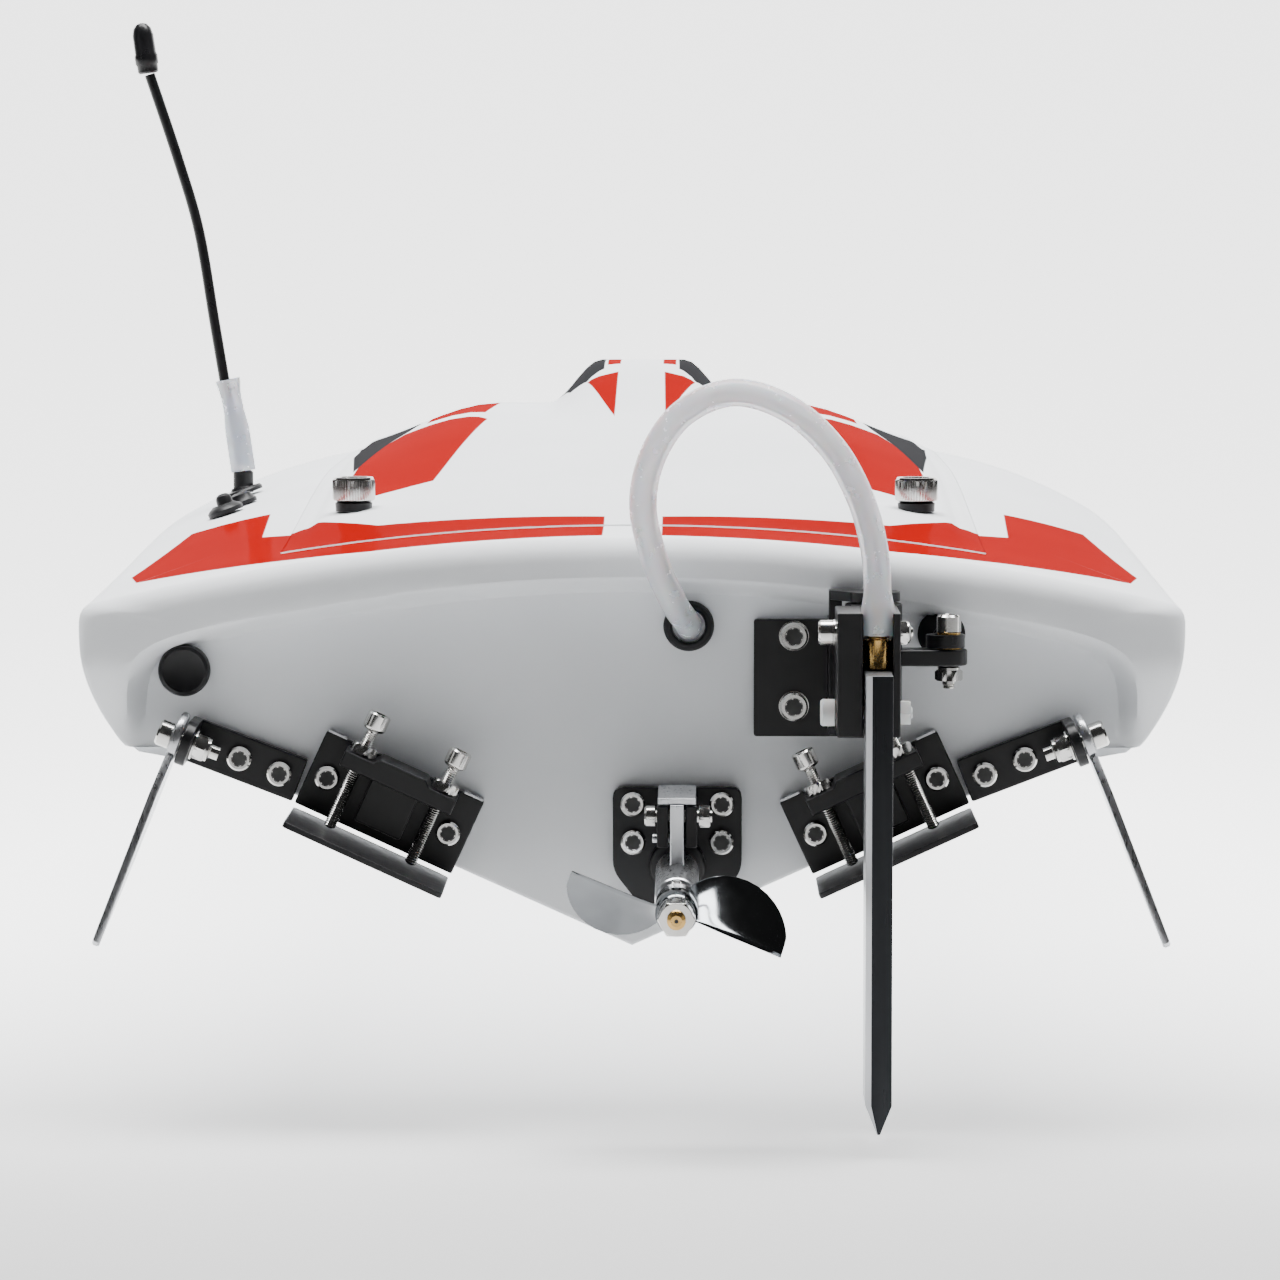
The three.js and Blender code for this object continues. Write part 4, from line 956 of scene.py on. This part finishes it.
def drive_line():
    aft = (0, -1, 0)
    drive = place(SHAFT_X, 0, SHAFT_Z, SHAFT_TILT)
    along = drive @ place(0, 0, 0, 90)  # Z of this frame runs aft along the shaft
    plate = Shape()
    x = SHAFT_X
    outline = [(x - 14.2, 17), (x - 8.5, 9.7), (x + 8.5, 9.7), (x + 14.2, 17), (x + 14.2, 35.5), (x - 14.2, 35.5)]
    plate.slab(rounded(outline, 2.4), -3, -0.35)
    for low in (-4.35, 1.85):
        cheek = [(x + low, 24.6), (x + low + 2.5, 24.6), (x + low + 2.5, 33.6), (x + low, 33.6)]
        plate.slab(rounded(cheek, 0.4), -23.9, -2.8)
    plate.turned([(6.2, 2.9), (6.2, 4.6), (5.8, 5.2)], along)
    piece("strut_plate", plate, [BLACK_METAL], "hull", ["strut_bracket"], bevel=0.3)
    screws = Shape()
    for sx, sz in ((-9.8, 31.9), (9.8, 31.9), (-9.7, 23.5), (9.7, 23.5)):
        cap_screw(screws, x + sx, -3, sz, aft, 2.7, 2.3)
    cap_screw(screws, x - 4.7, -16, 30.6, (-1, 0, 0), 2.3, 2.4)
    screws.turned([(1.4, 0), (1.4, 12.4)], aim(x - 4.8, -16, 30.6, (1, 0, 0)), 0, 24)
    hex_nut(screws, x + 4.8, -16, 30.6, (1, 0, 0), 2.3, 2.4)
    piece("strut_screws", screws, [STEEL, STEEL_PAINTED_SHADE], "hull", ["strut_bolt"])
    strut = Shape()
    rings = [ring(r, z) for r, z in ((2.45, 10.2), (4.4, 10), (4.72, 10.5), (4.72, 41.4), (4.4, 41.9), (2.45, 41.9))]
    strut.rings(rings, along, closed=True)
    strut.block(-1.5, 1.5, -26, -9, 4.2, 17.55, drive)
    strut.block(-4.15, 4.15, -25, -8, 17.5, 18.85, drive)
    strut.turned([(0.9, 0), (1.0, 0.3), (1.0, 4)], drive @ aim(-1.4, -19, 9, (-1, 0, 0)), 0, 16)
    piece("strut_body", strut, [ALUMINIUM], "hull", ["drive_strut"], bevel=0.3)
    dog = Shape()
    dog.rings([ring(r, z) for r, z in ((2.32, 42.45), (3.9, 42.45), (4, 42.7), (4, 45.3), (3.8, 45.6), (2.32, 45.6))],
              along, closed=True)
    dog.turned([(1.0, 0), (1.0, 0.6), (0.7, 0.7)], along @ aim(0, 3.8, 44, (0, 1, 0)), 0, 16)
    piece("drive_dog_ring", dog, [STEEL], "drive_shaft", ["drive_dog"])
    shaft = Shape()
    shaft.turned([(1.95, -200), (1.95, 58)], along, 0, 32)
    m = along @ Matrix.Translation((0, 0, 58))
    profile = []
    for k in range(12):
        profile += [(1.72, k * 0.56), (1.98, k * 0.56 + 0.28)]
    shaft.turned(profile + [(1.6, 6.7), (1.2, 6.95)], m, 1, 32)
    # the centre hole at the shaft's end: a dark dot of painted shade
    shaft.turned([(0.5, 6.9), (0.4, 7.0)], m, 2, 16)
    shaft.turned([(1.65, -259), (1.65, -205), (1.95, -199.9)], along, 0, 32)
    piece("propeller_shaft", shaft, [STEEL, BRASS, STEEL_PAINTED_SHADE], "drive_shaft", ["prop_shaft"])
    nut = Shape()
    hex_nut(nut, 0, 0, 0, (0, 0, 1), 3.55, 5.1)
    bm = nut.bm
    bmesh.ops.transform(bm, matrix=along @ Matrix.Translation((0, 0, 58.4)), verts=bm.verts)
    piece("propeller_nut", nut, [STEEL], "drive_shaft", ["prop_nut"], bevel=0.2)
    propeller(drive, along)


def propeller(drive, along):
    """A polished surface-piercing propeller: two blades with cupped, straight trailing edges."""
    shape = Shape()
    hub = ((2.32, 46.2), (4.2, 46.1), (4.5, 46.5), (4.5, 57.2), (4.0, 57.9), (2.32, 57.9))
    shape.rings([ring(r, z) for r, z in hub], along, closed=True)
    tip, lead, mid, trail = 24.0, 9.5, -53.0, math.radians(-23)

    def front(r):
        return math.radians(-19 + 78 * (1 - clamp01(r / (tip + 0.2))) ** 0.62)

    shares = [0, 0.03, 0.08, 0.16, 0.28, 0.42, 0.56, 0.7, 0.82, 0.92, 0.98, 1]
    radii = [3.4, 4.6, 6, 8, 10, 12, 14, 16, 18, 19.5, 20.8, 21.8, 22.6, 23.2, 23.6, 23.85]
    for turn in (0, PI):
        spin = drive @ Matrix.Rotation(turn, 4, "Y")
        rings = []
        for r in radii:
            half = 0.85 * (0.95 - 0.45 * r / tip)
            row = []
            for side in (-1, 1):
                order = shares if side < 0 else shares[::-1]
                for t in order:
                    angle = trail + (front(r) - trail) * t
                    lift = side * half * (1 - 0.85 * t) * (0.55 if t < 0.02 else 1)
                    cup = -0.7 * (1 - smooth(0, 0.16, t)) * smooth(5, 12, r)
                    y = mid + lead * (angle - trail) - 3.6 + lift + cup
                    row.append(Vector((r * math.cos(angle), y, r * math.sin(angle))))
            rings.append(row)
        shape.rings(rings, spin)
    piece("propeller_polished", shape, [POLISHED], "drive_shaft", ["propeller"], angle=50)


# ---- trim tabs ----
TRIM_X, TRIM_Z, DEADRISE = 57.3, 23.7, 24.6


def trim_tabs():
    for side, s in (("port", -1), ("starboard", 1)):
        corner = place(s * TRIM_X, 0, TRIM_Z, 0, -s * DEADRISE)
        bracket = Shape()
        bracket.slab(rounded([(-19, 0.5), (19, 0.5), (19, 18), (-19, 18)], 0.5), -3, -0.35, corner)
        hump = [(-5.5, 3.2), (5.5, 3.2), (5.5, 13.8), (-5.5, 13.8)]
        bracket.slab(rounded(hump, 0.6), -8.9, -2.8, corner)
        outline = [(-13.3, 13.7), (13.3, 13.7), (13.3, 17.3), (6.6, 17.3), (5.4, 18.6), (-5.4, 18.6), (-6.6, 17.3),
                   (-13.3, 17.3)]
        bracket.slab(outline, -15.9, -2.8, corner)
        piece(f"trim_bracket_plate_{side}", bracket, [BLACK_METAL], "hull", [f"trim_bracket_{side}"],
              bevel=0.35)
        edge = Shape()
        for end in (-1, 1):
            edge.block(end * 16.4 - 2.2, end * 16.4 + 2.2, -3.6, -0.4, 18.05, 18.5, corner)
        aft = corner.to_3x3() @ Vector((0, -1, 0))
        for sx in (-14.6, 14.6):
            at = corner @ Vector((sx, -3, 8.6))
            cap_screw(edge, *at, aft, 2.7, 2.3, 1, 2)
        up = corner.to_3x3() @ Vector((0, 0, 1))
        for sx in (-9.7, 9.7):
            at = corner @ Vector((sx, -11, 17.5))
            hex_nut(edge, *at, up, 2.7, 2.1, 1, roll=15)
        piece(f"trim_fittings_{side}", edge, [ALUMINIUM, STEEL, STEEL_PAINTED_SHADE], "hull")
        tab = Shape()
        rows = []
        outline = rounded([(-18.8, -0.7), (-18.8, -30), (18.8, -30), (18.8, -0.7)], 1.2)
        for z in (-1.9, -0.65):
            rows.append([Vector((px, py, z)) for px, py in outline])
        tab.rings(rows, corner)
        tab.rings([ring(r, z, count=24) for r, z in ((0.25, -17), (0.7, -17), (0.7, 17), (0.25, 17))],
                  corner @ place(0, -1.35, -1.25, 0, 90), closed=True)
        piece(f"trim_tab_plate_{side}", tab, [BLACK_METAL], f"trim_tab_{side}",
              [f"trim_tab_{side}"], bevel=0.2)
        for which, t in (("inner", -s), ("outer", s)):
            screw = Shape()
            m = corner @ place(t * 9.7, -11, 0)
            profile = [(0.6, -0.3)]
            for k in range(46):
                profile += [(1.18, k * 0.5), (1.35, k * 0.5 + 0.25)]
            screw.turned(profile + [(1.3, 23.2)], m, 0, 20)
            screw.turned([(1.4, 23.0), (2.3, 23.4), (2.55, 23.7), (2.6, 24.0), (2.6, 26.8), (2.3, 27.15), (1.75, 27.15),
                          (1.6, 27.1, "h"), (1.5, 26.2, "h")], m)
            # the socket's floor: a dark hexagon of painted shade
            screw.turned([(1.45, 26.15, "h"), (1.4, 26.25, "h")], m, 1)
            piece(f"trim_adjuster_{which}_{side}", screw, [STEEL, STEEL_PAINTED_SHADE], f"trim_screw_{which}_{side}",
                  [f"trim_screw_{which}_{side}"])


# ---- turn fins ----
FIN_X, FIN_Z, FIN_TILT = 85.2, 41.5, 21


def turn_fins():
    for side, s in (("port", -1), ("starboard", 1)):
        corner = place(s * FIN_X, 0, FIN_Z, 0, -s * FIN_TILT)
        flip = corner @ Matrix.Scale(s, 4, (1, 0, 0))
        bar = Shape()
        bar.slab(rounded([(-12.9, -4.9), (13.9, -4.9), (13.9, 4.9), (-12.9, 4.9)], 0.6), -3, -0.35, flip)
        ear = [(-1, -5), (-14, -5), (-16.9, -2.2), (-16.9, 2.2), (-14, 5), (-1, 5)]
        rows = [[Vector((x, y, z)) for y, z in rounded(ear, 1.5)] for x in (11.65, 13.95)]
        bar.rings(rows, flip)
        piece(f"fin_bracket_bar_{side}", bar, [BLACK_METAL], "hull", [f"fin_bracket_{side}"],
              bevel=0.35)
        bolts = Shape()
        aft = corner.to_3x3() @ Vector((0, -1, 0))
        outward = corner.to_3x3() @ Vector((s, 0, 0))
        for sx in (-8.2, 1.2):
            at = flip @ Vector((sx, -3, 0))
            cap_screw(bolts, *at, aft, 2.7, 2.3, 0, 1)
        at = flip @ Vector((16.45, -10, 0))
        cap_screw(bolts, *at, outward, 2.9, 3.2, 0, 1)
        inward = -outward
        at = flip @ Vector((11.55, -10, 0))
        bolts.turned([(3.2, 0), (3.3, 0.15), (3.3, 0.5), (3.1, 0.6)], aim(*at, inward), 0)
        at = flip @ Vector((10.95, -10, 0))
        hex_nut(bolts, *at, inward, 2.7, 3.5, 0, nylon=2)
        at = flip @ Vector((16.3, -10, 0))
        bolts.turned([(1.5, 0), (1.5, 10.8)], aim(*at, inward), 0, 24)
        piece(f"fin_screws_{side}", bolts, [STEEL, STEEL_PAINTED_SHADE, NYLON], "hull", [f"fin_bolt_{side}"])
        fin = Shape()
        edge = []
        for k in range(15):
            t = k / 14
            a, b, c = (1 - t) ** 2, 2 * t * (1 - t), t * t
            edge.append((-4.6 * a - 6.2 * b - 25 * c, -3 * a - 26 * b - 46.8 * c))
        head = [(-10 + 6.1 * math.cos(math.radians(-28 - 15 * k)), -6.1 * math.sin(math.radians(-28 - 15 * k)))
                for k in range(2, 13)]
        outline = edge + [(-25.9, -45.8), (-22.4, -12)] + head[::-1]
        middle = (-13, -18)
        rows = []
        for x, shrink in ((14.35, 0.35), (14.75, 0), (15.65, 0), (16.05, 0.35)):
            row = []
            for y, z in outline:
                run = math.hypot(y - middle[0], z - middle[1])
                f = 1 - shrink / run
                row.append(Vector((x, middle[0] + (y - middle[0]) * f, middle[1] + (z - middle[1]) * f)))
            rows.append(row)
        fin.rings(rows, flip)
        piece(f"turn_fin_blade_{side}", fin, [ALUMINIUM], f"turn_fin_{side}", [f"turn_fin_{side}"])


drive_line()
trim_tabs()
turn_fins()


# ---- CAD nodes shown as they are ----
slot_of = {part["node"]: part["material_slot"] for part in frame["record"]["subparts"]}
for name, node in frame["nodes"].items():
    if not node.hide_render:
        node.data.materials.clear()
        node.data.materials.append(SLOT_MATERIAL[slot_of[name]])
